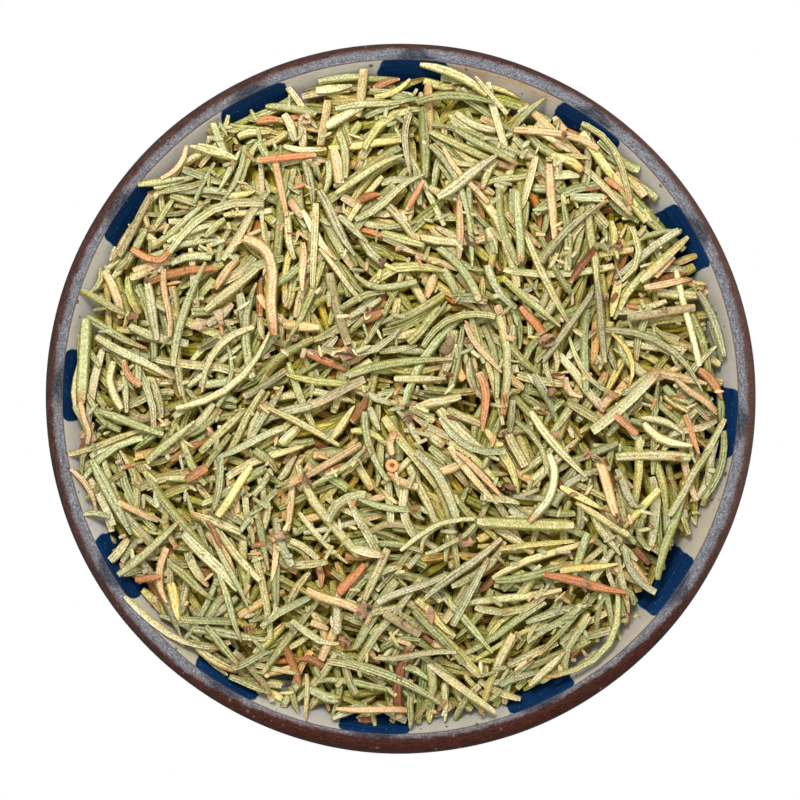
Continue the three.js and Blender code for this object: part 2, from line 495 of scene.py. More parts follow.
# %% Node group: one painted square
SQUARE_DIRECTIONS = (29.5, 55.3, 87.6, 116.6, 145.7, 177.7, 210.7, 238.3, 265.4, 295.3, 325.4, 355.6)
SQUARE_HALF = 5.5
SQUARE_TOP = 1.0
CORNER = 1.3
BRUSH_EDGE = 0.22
HAZE_HALF, HAZE_NARROWS, HAZE_LEAST = 0.95 * SQUARE_HALF, 0.42 * SQUARE_HALF, 0.8

painted_square, t, given, gives = new_group(
    "painted_square",
    [("Vector", VECTOR), ("Facing", VECTOR), ("Side", VECTOR), ("Run", NUMBER, 0.0)],
    [("Mask", NUMBER), ("Haze", NUMBER)],
)
across = abs(t.vector("DOT_PRODUCT", given["Vector"], given["Side"]))
ahead = t.math("GREATER_THAN", t.vector("DOT_PRODUCT", given["Vector"], given["Facing"]), 0.0)
down = abs(given["Run"] - (SQUARE_TOP + SQUARE_HALF))
past_x, past_y = (t.math("MAXIMUM", way - (SQUARE_HALF - CORNER), 0.0) for way in (across, down))
from_corner = t.math("SQRT", past_x * past_x + past_y * past_y)
t.feed(gives["Mask"], ahead * t.ramp(from_corner, CORNER + BRUSH_EDGE, CORNER - BRUSH_EDGE))
outwards = t.math("MAXIMUM", SQUARE_TOP - given["Run"], 0.0)
haze_reach = t.math("MAXIMUM", HAZE_HALF - outwards * HAZE_NARROWS, HAZE_LEAST)
t.feed(gives["Haze"], ahead * t.ramp(across, haze_reach, haze_reach * 0.35))

# %% [markdown]
# ## Glaze
#
# One material covers the dish, as one firing did. Going inwards it has a dark rust-brown glaze, a
# streaky grey-blue band on the lip, a thin rusty line where the two glazes meet, and the pale wall
# with iron specks. The dish was tipped a little when it was dipped, so the brown runs far over the lip
# on one side and stays low on another. Over each painted square the band is smoky with the paint.
# Some light and shade is painted into the glaze as well. There is painted shade on the outer face of
# the lip, partly on its thick side, and on one side of the wall. There is painted light on the sunny
# side of the brown, and light specks in the brown are painted highlights.

# %% Where the glazes meet
LINE_MM = 1.18
LINE_TIP = (0.0, -0.2)
LINE_DIPS, DIPS_BY = (0.6, -0.8), 0.42
LINE_WIDTH = 0.15
BROWN_EDGE_MM = -0.22
THICK_SIDE, THICK_BY = (0.16, -0.99), 1.2
THIN_SIDE, THIN_BY = (0.42, 0.91), 0.42
SHADY_SIDE = (0.8, -0.6)
# Painted light: the brown glaze is lighter on the sunny side.
SUNNY_SIDE = (0.97, 0.24)
ORANGE_STAIN_SIDE = (0.33, 0.94)
TAN_STAIN_SIDES = ((-0.72, -0.69), (0.86, -0.5))

glaze, t, shader = new_material("stoneware_glaze")
spot = t.object_mm()
run = t.node("ShaderNodeAttribute", "Fac", attribute_name="run")
flat_spot = t.vector("MULTIPLY", spot, (1, 1, 0))
direction = t.vector("NORMALIZE", flat_spot)


def facing(side):
    return t.vector("DOT_PRODUCT", direction, (*side, 0))


def towards(side, low, high):
    """1 on the side of the dish that is named, 0 away from it."""
    return t.ramp(facing(side), low, high)


def round_the_dish(depth, stretch):
    """Where a mottle is read so that it runs in streaks across the lip and wall."""
    return t.node("ShaderNodeCombineXYZ", 0, {0: depth, 1: facing((stretch, 0)), 2: facing((0, stretch))})


waver = t.noise(spot, 0.35, 3.0) - 0.5
fine_waver = t.noise(spot, 1.6) - 0.5
level_run = run - facing(LINE_TIP) - towards(LINE_DIPS, 0.6, 0.95) * DIPS_BY
line_place = LINE_MM + fine_waver * 0.12
thick = towards(THICK_SIDE, 0.62, 0.97) * THICK_BY
thin = towards(THIN_SIDE, 0.6, 0.96) * THIN_BY
brown_edge = BROWN_EDGE_MM + thick - thin + waver * 0.9 + fine_waver * 0.7
streaks = mottled(t, round_the_dish(level_run * 3.6, 34), 1.0, 0.8)
grit = mottled(t, spot, 2.6, 0.9)
sand = t.noise(spot, 4.4, 1.0)

# %% Brown glaze
brown = t.mix(streaks, (44, 27, 23), (84, 55, 46))
# Darker and redder towards the thick side: a redder glaze where it runs thick, and painted shade where the
# lip faces away from the light.
rusty_and_shaded = t.mix(streaks, (27, 10, 6), (78, 34, 20))
# Painted shade: the outer face of the lip is darker, most towards the lower left, where it faces away from
# the light.
shaded_outer_face = t.ramp(run, -0.7, -2.4) * t.ramp(towards((-0.5, -0.86), -0.3, 0.8), 0.0, 1.0, 0.72, 1.0)
brown = t.layers(
    brown,
    (towards(THICK_SIDE, 0.35, 0.95) * 0.85, rusty_and_shaded),
    (shaded_outer_face, (24, 15, 12)),
    (towards(SUNNY_SIDE, 0.5, 1.0) * 0.16, (136, 108, 98)),
    (grit * 0.3, (30, 20, 20)),
    # Light specks in the brown: painted highlights.
    (speckled(t, spot, 1.1, 0.12, 0.3) * 0.35, (150, 124, 112)),
)
brown = t.scaled(brown, t.ramp(sand, 0.3, 0.7, 0.72, 1.28))

# %% Painted squares on the wall
shake = t.vector("SUBTRACT", t.noise(spot, 0.3, output="Color"), (0.5, 0.5, 0.5))
wavy_spot = t.vector("ADD", flat_spot, t.scaled(direction, waver))
wavy_spot = t.vector("ADD", wavy_spot, t.scaled(shake, 1.6))
wavy_run = level_run + waver * 1.1
squares = haze = 0.0
for degrees in SQUARE_DIRECTIONS:
    x, y = math.cos(math.radians(degrees)), math.sin(math.radians(degrees))
    painted = t.group(painted_square, vector=wavy_spot, facing=(x, y, 0), side=(-y, x, 0), run=wavy_run)
    squares = t.math("MAXIMUM", squares, painted)
    haze = t.math("MAXIMUM", haze, painted.beside("Haze"))
strokes = mottled(t, round_the_dish(run * 3.0, 7), 0.8, 0.9)
blue = t.mix(strokes, (4, 23, 50), (11, 50, 90))
blue = t.mix(speckled(t, spot, 1.7, 0.4, 0.3) * 0.4, blue, (70, 104, 138))

# %% Grey-blue band on the lip
by_the_brown = t.ramp(run - brown_edge, 1.0, 0.0)
by_the_line = t.ramp(level_run - (LINE_MM - 0.45), 0.0, 0.25)
salt = speckled(t, spot, 2.1, 0.4, 0.34)
pepper = speckled(t, t.vector("ADD", spot, (5.0, 9.0, 2.0)), 1.6, 0.4, 0.34)
ash = t.layers(
    t.mix(streaks, (74, 75, 79), (134, 137, 143)),
    (mottled(t, spot, 0.9, 0.8) * 0.35, (88, 90, 98)),
    (by_the_brown * 0.6, (96, 84, 83)),
    (by_the_line * (streaks * 0.5), (150, 156, 166)),
    (salt * 0.5, (160, 168, 180)),
    (pepper * 0.55, (50, 50, 56)),
    (haze * t.ramp(streaks, 0.0, 1.0, 0.95, 0.65), (36, 43, 52)),
)
ash = t.scaled(ash, t.ramp(sand, 0.3, 0.7, 0.6, 1.4))

# %% Pale wall
warm_edge = t.ramp(level_run, LINE_MM + 3.4, LINE_MM)
rust_dots = speckled(t, t.vector("ADD", spot, (3.0, 1.0, 8.0)), 1.3, 0.14, 0.3)
orange_stain = towards(ORANGE_STAIN_SIDE, 0.965, 0.995) * t.ramp(streaks, 0.3, 0.8, 0.1, 0.9)
near_line = t.ramp(level_run, LINE_MM + 3.6, LINE_MM + 0.2)
tan_streaks = t.ramp(streaks, 0.2, 0.8, 0.1, 0.5)
iron = speckled(t, spot, 0.6, 0.4, 0.24)
pale = t.layers(
    t.mix(mottled(t, spot, 0.14, 1.0), (182, 182, 179), (190, 186, 173)),
    (warm_edge * 0.35, (190, 182, 164)),
    (grit * 0.16, (140, 134, 124)),
    (mottled(t, spot, 0.45, 0.6) * 0.22, (160, 146, 120)),
    (rust_dots * 0.7, (138, 92, 62)),
    (orange_stain * near_line, (184, 136, 84)),
    *((towards(side, 0.93, 0.99) * tan_streaks, (182, 164, 122)) for side in TAN_STAIN_SIDES),
)
# Painted shade: the pale wall is darker on the shady side.
pale = t.filtered(towards(SHADY_SIDE, -0.6, 0.8), pale, (0.8, 0.79, 0.77))
pale = t.layers(
    pale,
    (iron * 0.8, (64, 54, 50)),
    (t.ramp(squares, 0.0, 0.5) * 0.75, (78, 112, 138)),
    (t.ramp(squares, 0.3, 0.8), blue),
)

# %% All glazes together
BARE_BELOW = outer_wall(FOOT_OUT) - 1.6
OUTSIDE_RUN = -5.0

colour = t.mix(t.ramp(run, brown_edge - 0.4, brown_edge + 0.3), brown, ash)
colour = t.mix(t.ramp(level_run, line_place, line_place + 0.1), colour, pale)
line = t.ramp(abs(level_run - line_place), LINE_WIDTH * 1.6, LINE_WIDTH * 0.4) * 0.8
line_tone = t.mix(t.noise(spot, 0.12, 1.0), (76, 46, 38), (112, 86, 72))
colour = t.mix(line * (1.0 - squares * 0.8), colour, line_tone)

z = t.node("ShaderNodeSeparateXYZ", "Z", {0: spot})
bare = t.ramp(z + waver, BARE_BELOW, BARE_BELOW - 0.35) * t.math("LESS_THAN", run, OUTSIDE_RUN)
clay_mottle = mottled(t, spot, 1.6, 1.0)
clay = t.mix(clay_mottle, (146, 116, 90), (178, 148, 118))
t.feed(shader["Base Color"], t.mix(bare, colour, clay))
t.feed(shader["Roughness"], t.ramp(bare, 0.0, 1.0, 0.44 + grit * 0.2, 0.85))
shader["Specular IOR Level"].default_value = 0.06
t.bump(shader, grit * 0.6 + clay_mottle * bare - iron, 0.4, 0.12)
dish.data.materials.append(glaze)

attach(dish, "root")
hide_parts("dish")

# %% [markdown]
# ## The shape of the heap
#
# The leaves were poured in and levelled, so the heap is a low dome that meets the wall a few
# millimetres under the lip. It leans a millimetre to one side, as poured heaps do. Only the upper
# leaves can be seen, so the lower part is one turned solid, the bed. Its top lies about six leaves'
# thickness under the dome.

# %% Bed of packed leaves
HEAP_EDGE_R = 51.4
HEAP_CROWN = 3.1
BED_DEPTH = 7.4
BED_EDGE_R = 45.0
BED_SHOULDER_R = 40
LUMP = 0.45
WALL_GAP = 0.3
LEANS = (-0.7, 0.85)


def heap_top(x, y):
    """Height of the heap's dome, in millimetres."""
    share = np.hypot(x - LEANS[0], y - LEANS[1]) / HEAP_EDGE_R
    lumps = np.sin(x / 9 + 1.3) * np.cos(y / 11 - 0.4) + 0.5 * np.sin((x + y) / 6)
    calm = np.maximum(0, 1 - share**6)
    return inner_wall(HEAP_EDGE_R) + HEAP_CROWN * (1 - share**2) + LUMP * lumps * calm


bed_outline = [(r, inner_wall(r) + WALL_GAP) for r in np.linspace(0, BED_EDGE_R, 16)]
bed_top = bed_outline[-1][1]
for r in np.linspace(BED_EDGE_R, 0, 24):
    dome = inner_wall(HEAP_EDGE_R) + HEAP_CROWN * (1 - (r / HEAP_EDGE_R) ** 2) - BED_DEPTH
    bed_outline.append((r, max(dome, bed_top + 0.2) if r > BED_SHOULDER_R else dome))
bed = turned("packed_leaves", bed_outline, 96)
print("bed", open_edges(bed), "open edges")

# %% [markdown]
# ## One leaf
#
# A dried rosemary leaf is a thick, narrow bar. Its margins are rolled under, so the upper side is
# rounded with one fine groove, and the underside shows a pale midrib between two dark grooves. The
# blank is drawn once: a circle becomes the section, and a few extrudes carry it along. It is one
# long and one wide, and every copy is then stretched, bent, rolled and tapered to its own size. A
# second, plainer blank serves where leaves are buried, and a longer one where they bend a lot.

# %% Leaf blanks
GROOVED_HALF = ((0.0, -0.19), (0.17, -0.12), (0.40, -0.27), (0.5, 0.0), (0.28, 0.28))
GROOVED_SECTION = GROOVED_HALF + ((0.0, 0.235),) + tuple((-y, z) for y, z in GROOVED_HALF[:0:-1])
PLAIN_HALF = ((0.0, -0.26), (0.42, -0.18), (0.38, 0.18))
PLAIN_SECTION = PLAIN_HALF + ((0.0, 0.30),) + tuple((-y, z) for y, z in PLAIN_HALF[:0:-1])
SHORT_STATIONS = (-0.5, -0.4, -0.14, 0.14, 0.4, 0.5)
LONG_STATIONS = (-0.5, -0.44, -0.28, -0.1, 0.1, 0.28, 0.44, 0.5)
PLAIN_STATIONS = (-0.5, -0.17, 0.17, 0.5)
CROOKED_STATIONS = tuple(np.linspace(-0.5, 0.5, 15))


def leaf_blank(section, stations):
    """Vertices, faces and (round, along) map of a closed bar along X, one long and one wide."""
    bpy.ops.object.select_all(action="DESELECT")
    turn = (0, math.pi / 2, 0)
    bpy.ops.mesh.primitive_circle_add(vertices=len(section), radius=0.5, fill_type="NGON", rotation=turn)
    bar = bpy.context.active_object
    bpy.ops.object.transform_apply(location=True, rotation=True, scale=True)
    for vertex, (y, z) in zip(bar.data.vertices, section):
        vertex.co = (stations[0], y, z)
    bpy.ops.object.mode_set(mode="EDIT")
    bpy.ops.mesh.select_all(action="SELECT")
    for before, after in zip(stations, stations[1:]):
        step = {"value": (after - before, 0, 0)}
        bpy.ops.mesh.extrude_region_move(TRANSFORM_OT_translate=step)
    end_drawing()
    points = vertex_places(bar)
    faces = [list(polygon.vertices) for polygon in bar.data.polygons]
    offsets = points[:, None, 1:] - np.array(section)
    place = (offsets**2).sum(2).argmin(1)
    mapped = []
    for face in faces:
        rounds = place[face].astype(float)
        is_cap = len(face) == len(section)
        if not is_cap and rounds.max() - rounds.min() > 1:
            rounds[rounds == 0] = len(section)
        for vertex, around in zip(face, rounds):
            mapped.append((around / len(section), points[vertex, 0] + 0.5))
    print(len(faces), "faces a leaf,", open_edges(bar), "open edges")
    bpy.data.objects.remove(bar)
    return points, faces, np.array(mapped)


short_blank = leaf_blank(GROOVED_SECTION, SHORT_STATIONS)
long_blank = leaf_blank(GROOVED_SECTION, LONG_STATIONS)
plain_blank = leaf_blank(PLAIN_SECTION, PLAIN_STATIONS)
crooked_blank = leaf_blank(GROOVED_SECTION, CROOKED_STATIONS)

# %% [markdown]
# ## Kinds of leaf
#
# Drying fades leaves unevenly. Most are sage or straw green, some are grey, yellow or tan, and a few
# are rusty. Short bits of bark-covered stem lie among them. Each kind has a few tones, and each leaf
# mixes two of them, so no two are alike.

# %% Tones and shares of the kinds
KINDS = {
    "sage": ((168, 168, 127), (178, 175, 137), (158, 155, 112), (173, 170, 136), (151, 150, 106)),
    "straw": ((196, 184, 144), (202, 191, 152), (188, 177, 134)),
    "grey": ((172, 165, 136), (163, 156, 128), (184, 174, 144)),
    "yellow": ((205, 192, 133), (197, 184, 123)),
    "tan": ((216, 182, 142), (203, 170, 132)),
    "rust": ((199, 140, 104), (183, 124, 90)),
    "aged": ((144, 98, 70), (120, 80, 60), (164, 114, 78)),
    "bark": ((169, 152, 114), (183, 166, 129), (152, 135, 99)),
    "pale": ((212, 206, 168), (204, 198, 165)),
    "stalk": ((182, 182, 136), (176, 177, 130)),
}
SHARES = {
    "sage": 0.46,
    "straw": 0.245,
    "grey": 0.08,
    "yellow": 0.05,
    "tan": 0.085,
    "rust": 0.03,
    "aged": 0.03,
    "bark": 0.03,
    "pale": 0.02,
}
BROWN_TIP, BROWN_BY = (172, 120, 84), 0.8
PALE_END, PALE_BY = (222, 206, 164), 0.6

# %% [markdown]
# ## Leaves that the eye finds first
#
# The photograph's topmost leaves are listed: the long ones, the curved ones, the rusty ones.
# They are laid last, where they lie in the picture. Each row gives where a leaf starts and ends, in
# millimetres from the dish's middle, then how far its middle bends sideways and its width. Without
# these it is straight and of the usual width. A crooked piece has its width and then its own points.

# %% Leaves on top, by kind
USUAL_WIDTH = 1.2
TOP_LEAVES = {
    "straw": (
        (-36.5, 21, -21, 30, 3.2, 1.4), (-32.5, 39, -27.5, 37.5, 0, 0.9), (3, 51.6, 13.3, 46.8, 0.9, 1.5),
        (11.5, 49.5, 16.5, 44, 0, 0.9), (37, 18, 44.5, 25, 0, 1.6), (-34.5, -1.5, -20, 10.5, -2.8),
        (-22.5, 11, -30.5, 1, -2.4), (-30, 13.5, -22, 20, 0, 1.6), (29.5, -5, 39.5, 4.5, -0.5, 1.7),
        (20, -2, 28.5, -12, -0.5, 1.4), (27, -16, 35, -21), (26, 9.5, 33.5, 0.5, -1.7, 0.9),
        (37, -3, 43.5, -5.5, 0.8), (-5.5, -31, -2, -23, 0, 1.4), (4.5, -41, 14.5, -48.5, 0, 1.4),
        (-7.5, -23, -2.5, -24, 0, 1.6), (20, -44.5, 25.5, -39, 0, 1.4), (-14.5, -42.5, -14.5, -50, 0, 0.9),
        (-1, 3, 7, 3), (-47, 9.5, -35, 3, 0, 1.4), (7.4, -7.4, 14.9, -16.1, -0.3),
        (-7, 27.5, 3.8, 34.6, 0, 1.3), (-33.4, -20.8, -24.9, -29.3, 0, 1.8),
        (-42.5, -30.5, -30.5, -38.5, -1.1), (-13, 30, -13.5, 17), (-12.5, 23, -6, 15, 0, 0.9),
    ),
    "sage": (
        (-35, 5, -30, 21, 0.9, 1.4), (-40.5, 33, -33.5, 34, 0, 1.1), (-37.5, 31.5, -30.5, 33.5, 0, 1.1),
        (-10, 44.5, 2.5, 46.5), (2.5, 45.5, 14.5, 45.5, 1.2, 1.5), (-9.5, 41, -8.5, 34, 0.5, 1.4),
        (-10, 31.5, 0.5, 37.5, 0.5), (4.5, 39, 11, 25.5, 1.4), (8.5, 41.5, 18, 36),
        (28, 42.5, 35.5, 30, 2.1, 1.1), (-50, 10, -46.5, 5, 0, 1.1), (-46.5, -2, -36.5, -5.5, 0, 1.4),
        (-28, -9, -18, -4.5), (31.5, 10.5, 46.5, 1, 3), (50, -5, 46.5, -15.5, 1.3), (2, -32.5, 10, -41),
        (-8.5, -40.5, 6.5, -47.5, 0.9, 1.4), (8, -35, 13.5, -24.5), (1.5, -46, 1.5, -51),
        (33.5, -30, 22.5, -43, 4.2), (3.5, 8, 14.5, 12.5, 2.3), (-8, 3.5, 8, 6, 0.8, 1.4),
        (6, -3, 16, -8, -1.9, 1.1), (-5.5, -2, -2, -12.5, -1), (14.5, -28, 26, -25.5, -0.5, 1.4),
        (-43.5, -27.2, -33.4, -18.2, -0.3, 1.4), (-34, -34, -25, -34.5), (-28, -27, -24.5, -37.5),
        (-29, -21, -23.5, -32, 0, 1.1), (-26, -41.5, -20, -39), (-26.5, -43, -20, -45.5),
        (-35.5, -25.5, -29, -31, 0, 1.4), (-30, -35, -25, -41), (-47.5, -9.5, -41.5, -21, 0, 1.9),
        (-49, -18, -45, -18.5, 0.5, 1.1), (-39, -9.5, -31.5, -3.5, 0, 1.4), (-27.5, -9, -29, -17.5, 0.4),
        (6, 23, 12, 15, 0.9, 1.4), (-3, 25.5, 3.5, 23.5, 0, 1.4), (-7, 19, 2.5, 18, -1.5),
        (18, 32, 18.5, 21, 0, 1.4), (2.4, -8, 8.5, -18.4, 1, 1.5),
    ),
    "bark": (
        (-38.5, 31.5, -43.5, 22), (35, 12.5, 45.5, 14, 0, 1.4), (-2.5, -33, 3, -36.5, 0, 1.4),
        (-13.5, -1, -5.5, 3, 0, 1.4),
    ),
    "tan": (
        (-33, 39, -37, 34, 1, 0.9), (-19.5, 37.5, -17.5, 28), (17.5, 41.5, 30.5, 38.5, 1),
        (-43.5, -16, -37.5, -19, 0, 1.1), (-36.5, 20, -35.5, 9.5, 0, 1.1), (37.5, 17, 45, 18.5),
        (42.5, 3, 48.5, -2, 0, 1.1), (30.5, -9.5, 33.5, -19, 0, 1.6), (-14.5, -29.5, -6.5, -32.5, 0, 1.4),
        (-10, -48, 1, -48, 0, 1.1), (10, 11.5, 15.5, 4, -0.5), (-15.5, -12.5, -6, -7),
        (8.5, -8.2, 16, -15.7, 0.3, 1.1), (6.6, 38.5, 13.5, 30.2, -0.5, 0.9), (-36, -23, -36, -31.5, -1.2),
        (-15, 24, -15, 16.5, 0, 1.4), (-51, -11, -47, -17.5, 0.9, 0.9),
    ),
    "yellow": (
        (-4, 46.5, 1.5, 49.5, -0.7, 0.9), (32.5, 27.5, 33.5, 21.5, 0, 1.4), (24.5, -13.5, 31, -17),
        (32.5, 10, 35, 1.5, 1.8, 0.9), (2.5, -31, 8, -36.5, 0, 1.4), (24.5, -26.5, 33.5, -25.5),
        (-35.5, -28.5, -34, -34, 0, 1.6), (-23, -10.5, -28, -18, 0, 1.4),
    ),
    "grey": (
        (1.5, 44, 1.5, 34.5, -0.8, 1.1), (-12.5, 32, -7, 22, -0.2, 1.6), (-9.5, 28, -5, 24),
        (5.7, 30.8, 14.8, 37.4, 0, 1.8), (21.5, 21, 32, 30.5, 0.9), (-39, 18.5, -37.5, 9, 0, 1.6),
        (22, 5.5, 29.5, 16.5), (30, 18.5, 31.5, 5.5), (46, 16.5, 50, 6.5, 0.6, 1.4),
        (-4, -40, 8.5, -39, 0, 1.1), (-3.5, -31.5, 7, -27), (3.5, -31, 15.5, -21.5, 0, 1.4),
        (34.5, -23, 39.5, -30, -1.2),
    ),
    "rust": (
        (-22, 36.5, -13, 37.5, 0.1), (1, 29, 3.5, 33.5, 0, 1.1), (31.5, 34, 34.5, 32, 0, 1.1),
        (-42.5, 6, -40, 2, -0.7, 1.1), (44, -2.5, 46, -8.5, 0, 1.1), (33, -2.5, 36.5, -5.5, 0, 1.1),
        (-9.5, -30, -5.5, -25.5, 0, 1.6), (22, -27, 35, -30, 0, 1.6), (12, 4, 12.5, -5, 0.8, 1.4),
        (-41, -28, -37, -27.5),
    ),
    "aged": (
        (-33.2, -12.6, -29.8, -10.6, 0, 1.5), (-29.8, -18.8, -27.7, -22.7, 0.2, 0.9),
        (-5.6, 12, -2.8, 13.2, 0, 1.7), (-6.5, 30.2, -3.2, 31.4, 0.3, 1.4), (36.2, -23.2, 38.4, -25.6),
    ),
}
CROOKED = (
    ("stalk", 1.95, (11.8, -19.0), (19.0, -19.3), (26.6, -19.5)),
    ("stalk", 1.95, (-48.5, 12.3), (-48.9, 6.0), (-49.3, -0.8)),
    ("tan", 1.85, (-24.1, 24.6), (-22.2, 23.9), (-20.6, 22.6), (-19.8, 20.3), (-19.9, 14.9), (-19.4, 9.7)),
    ("sage", 0.85, (11.3, -18.5), (7.7, -18.8), (5.0, -20.1), (3.6, -21.6), (3.2, -23.4)),
    ("sage", 0.85, (11.5, -19.3), (9.6, -21.2), (7.3, -22.4), (5.0, -23.6), (3.8, -23.9)),
    ("straw", 0.9, (9.5, -18.5), (6.2, -19.2), (3.0, -21.0), (0.0, -23.4)),
    ("pale", 1.35, (22.8, -8.6), (23.6, -10.8), (23.5, -12.9), (22.7, -15.4), (20.9, -17.6), (19.8, -18.9)),
    ("tan", 1.0, (-49.3, -0.6), (-48.8, -3.0), (-48.1, -5.6), (-48.4, -7.0)),
    ("tan", 1.3, (-1.3, -8.6), (-1.6, -6.8), (-0.9, -5.0)),
    ("straw", 1.4, (-44.3, 5.7), (-44.9, 3.2), (-44.2, 0.6), (-43.0, -1.6)),
    ("rust", 1.2, (-41.5, 23.0), (-38.8, 21.6), (-36.8, 21.4), (-35.6, 22.6)),
)
print(sum(len(rows) for rows in TOP_LEAVES.values()), "leaves are laid by sight")

# %% [markdown]
# ## Pouring the heap
#
# A rigid-body simulation of thousands of leaves takes hours, and a scatter on a surface makes leaves
# that float or cut through each other. A height map is quick and honest: it holds how high the heap
# is at every point. A leaf is a stiff rod, so it comes to rest on the two points that hold it highest
# on either side of its middle. It is then added to the map, and the next one rests on it. Each poured
# leaf tries several places and takes the one that lies lowest under the dome, as a leaf that slides
# into a hollow does.

# %% The height map
CELL = 0.25
MAP_CELLS = 449
MAP_MIDDLE = MAP_CELLS // 2
THICKNESS_SHARE = 0.54
CROWN_DROP = 1.6
NESTLE = 0.22
ROD_STEP = 0.8
FEELERS = (-0.38, 0, 0.38)
LAY_STEP = 0.18
BEND_MIDDLE = 0.67
CEILING = heap_high[2] / MM + 0.8
ROLLED_HALF = 0.65

axis = (np.arange(MAP_CELLS) - MAP_MIDDLE) * CELL
map_x, map_y = np.meshgrid(axis, axis, indexing="ij")
map_r = np.hypot(map_x, map_y)
lip_map = LIP_CENTRE_Z + np.sqrt(np.maximum(0, LIP_RADIUS**2 - (map_r - LIP_CENTRE_R) ** 2))
wall_map = np.where(map_r < inner_end[0], inner_wall(np.minimum(map_r, inner_end[0])), lip_map)
height_map = np.maximum(heap_top(map_x, map_y) - BED_DEPTH, wall_map)
rng = np.random.default_rng(7)


def cells(x, y):
    i = np.clip(np.rint(x / CELL).astype(int) + MAP_MIDDLE, 0, MAP_CELLS - 1)
    j = np.clip(np.rint(y / CELL).astype(int) + MAP_MIDDLE, 0, MAP_CELLS - 1)
    return i, j


def aside(x, y, heading, distance):
    """The place at this distance to the left of x, y, for one that looks along heading."""
    return x - np.sin(heading) * distance, y + np.cos(heading) * distance


def centre_line(x, y, heading, length, bend, along):
    """Plan places of the points at along, from -0.5 to 0.5 of the length."""
    s = along * length
    side = bend * (1 - 4 * along**2) - bend * BEND_MIDDLE
    return aside(x + np.cos(heading) * s, y + np.sin(heading) * s, heading, side)


def rest(x, y, heading, length, width, bend):
    """Height and slope at which rods come to rest. x, y and heading may hold several tries."""
    x, y, heading = (np.atleast_1d(v)[:, None] for v in (x, y, heading))
    half = max(3, round(length / ROD_STEP))
    along = (np.arange(2 * half) + 0.5) / (2 * half) - 0.5
    line_x, line_y = centre_line(x, y, heading, length, bend, along[None])
    spots = [cells(*aside(line_x, line_y, heading, side * width)) for side in FEELERS]
    ground = np.max([height_map[spot] for spot in spots], axis=0)
    before, after = along[:half] * length, along[half:] * length
    low, high = ground[:, :half, None], ground[:, None, half:]
    level = (low * after[None, None, :] - high * before[None, :, None]) / (after[None, :] - before[:, None])
    level = level.reshape(len(x), -1)
    best = level.argmax(1)
    row = np.arange(len(x))
    i, j = np.unravel_index(best, (half, half))
    slope = (ground[row, half + j] - ground[row, i]) / (after[j] - before[i])
    return level[row, best], slope


def lay(leaf):
    """Adds a resting leaf to the height map."""
    n_along, n_across = (int(leaf[side] / LAY_STEP) + 2 for side in ("length", "width"))
    along = np.linspace(-0.5, 0.5, n_along)
    line_x, line_y = centre_line(leaf["x"], leaf["y"], leaf["heading"], leaf["length"], leaf["bend"], along)
    base = leaf["z"] + leaf["slope"] * along * leaf["length"]
    for share in np.linspace(-0.5, 0.5, n_across):
        spots = cells(*aside(line_x, line_y, leaf["heading"], share * leaf["width"]))
        top = base + leaf["thickness"] * (1 - CROWN_DROP * share**2)
        height_map[spots] = np.maximum(height_map[spots], top)


# %% [markdown]
# Every leaf needs more than its place: how far it is rolled over, which side is up, how its ends are
# cut, and its tones. These are drawn once, in a fixed order, so each run gives the same heap.

# %% Pour
TRIES = 6
NUDGES = 12
NUDGE_MM = 0.7
NUDGE_TURN = 0.22
STEEPEST = 0.3
FLATNESS = 1.6
BATCH = 200
MOST_POURED = 6000
FULL = 0.15
MIDDLE_LENGTH = 7.4
BROWN_SHORTER = 0.75
LENGTH_SPREAD = 0.38
LEAF_LENGTHS = (2.8, 17.0)
MIDDLE_WIDTH = 1.37
WIDTH_SPREAD = 0.18
LEAF_WIDTHS = (0.9, 1.8)
ALONGSIDE_SHARE = 0.65
ALONGSIDE_SPREAD = 0.32
REACH = 52.0
OVERHANG_SHARE = 0.07
OVERHANG = 0.6
BARE_SIDE, BARE_BY = (0.75, -0.66), 1.9
BARE_FROM, BARE_OVER = 0.88, 0.1
GENTLE_SHARE, GENTLE_BEND, STRONG_BEND = 0.65, 0.04, 0.1
TOO_STEEP = 100
OPEN_GROUND_R = 46
WARMTH_SPREAD, WARMTH_LIMITS = 0.02, (-0.028, 0.055)
TONE_SPREAD = 0.036
UNDERSIDE_SHARE, BROWN_TIP_SHARE, PALE_ENDS_SHARE = 0.3, 0.24, 0.35
ROOT_WIDTHS, ROOT_ODDS = (0.95, 0.75, 0.5), (0.35, 0.4, 0.25)
TIP_WIDTHS, TIP_ODDS = (0.95, 0.65, 0.32), (0.2, 0.38, 0.42)
WOODY_END = 0.95

seen_rows = np.array([row[:4] for rows in TOP_LEAVES.values() for row in rows])
seen_places = (seen_rows[:, 0:2] + seen_rows[:, 2:4]) / 2
seen_headings = np.arctan2(*(seen_rows[:, 2:4] - seen_rows[:, 0:2]).T[::-1])
kind_names = list(SHARES)
kind_odds = np.array([SHARES[name] for name in kind_names])
kind_odds /= kind_odds.sum()


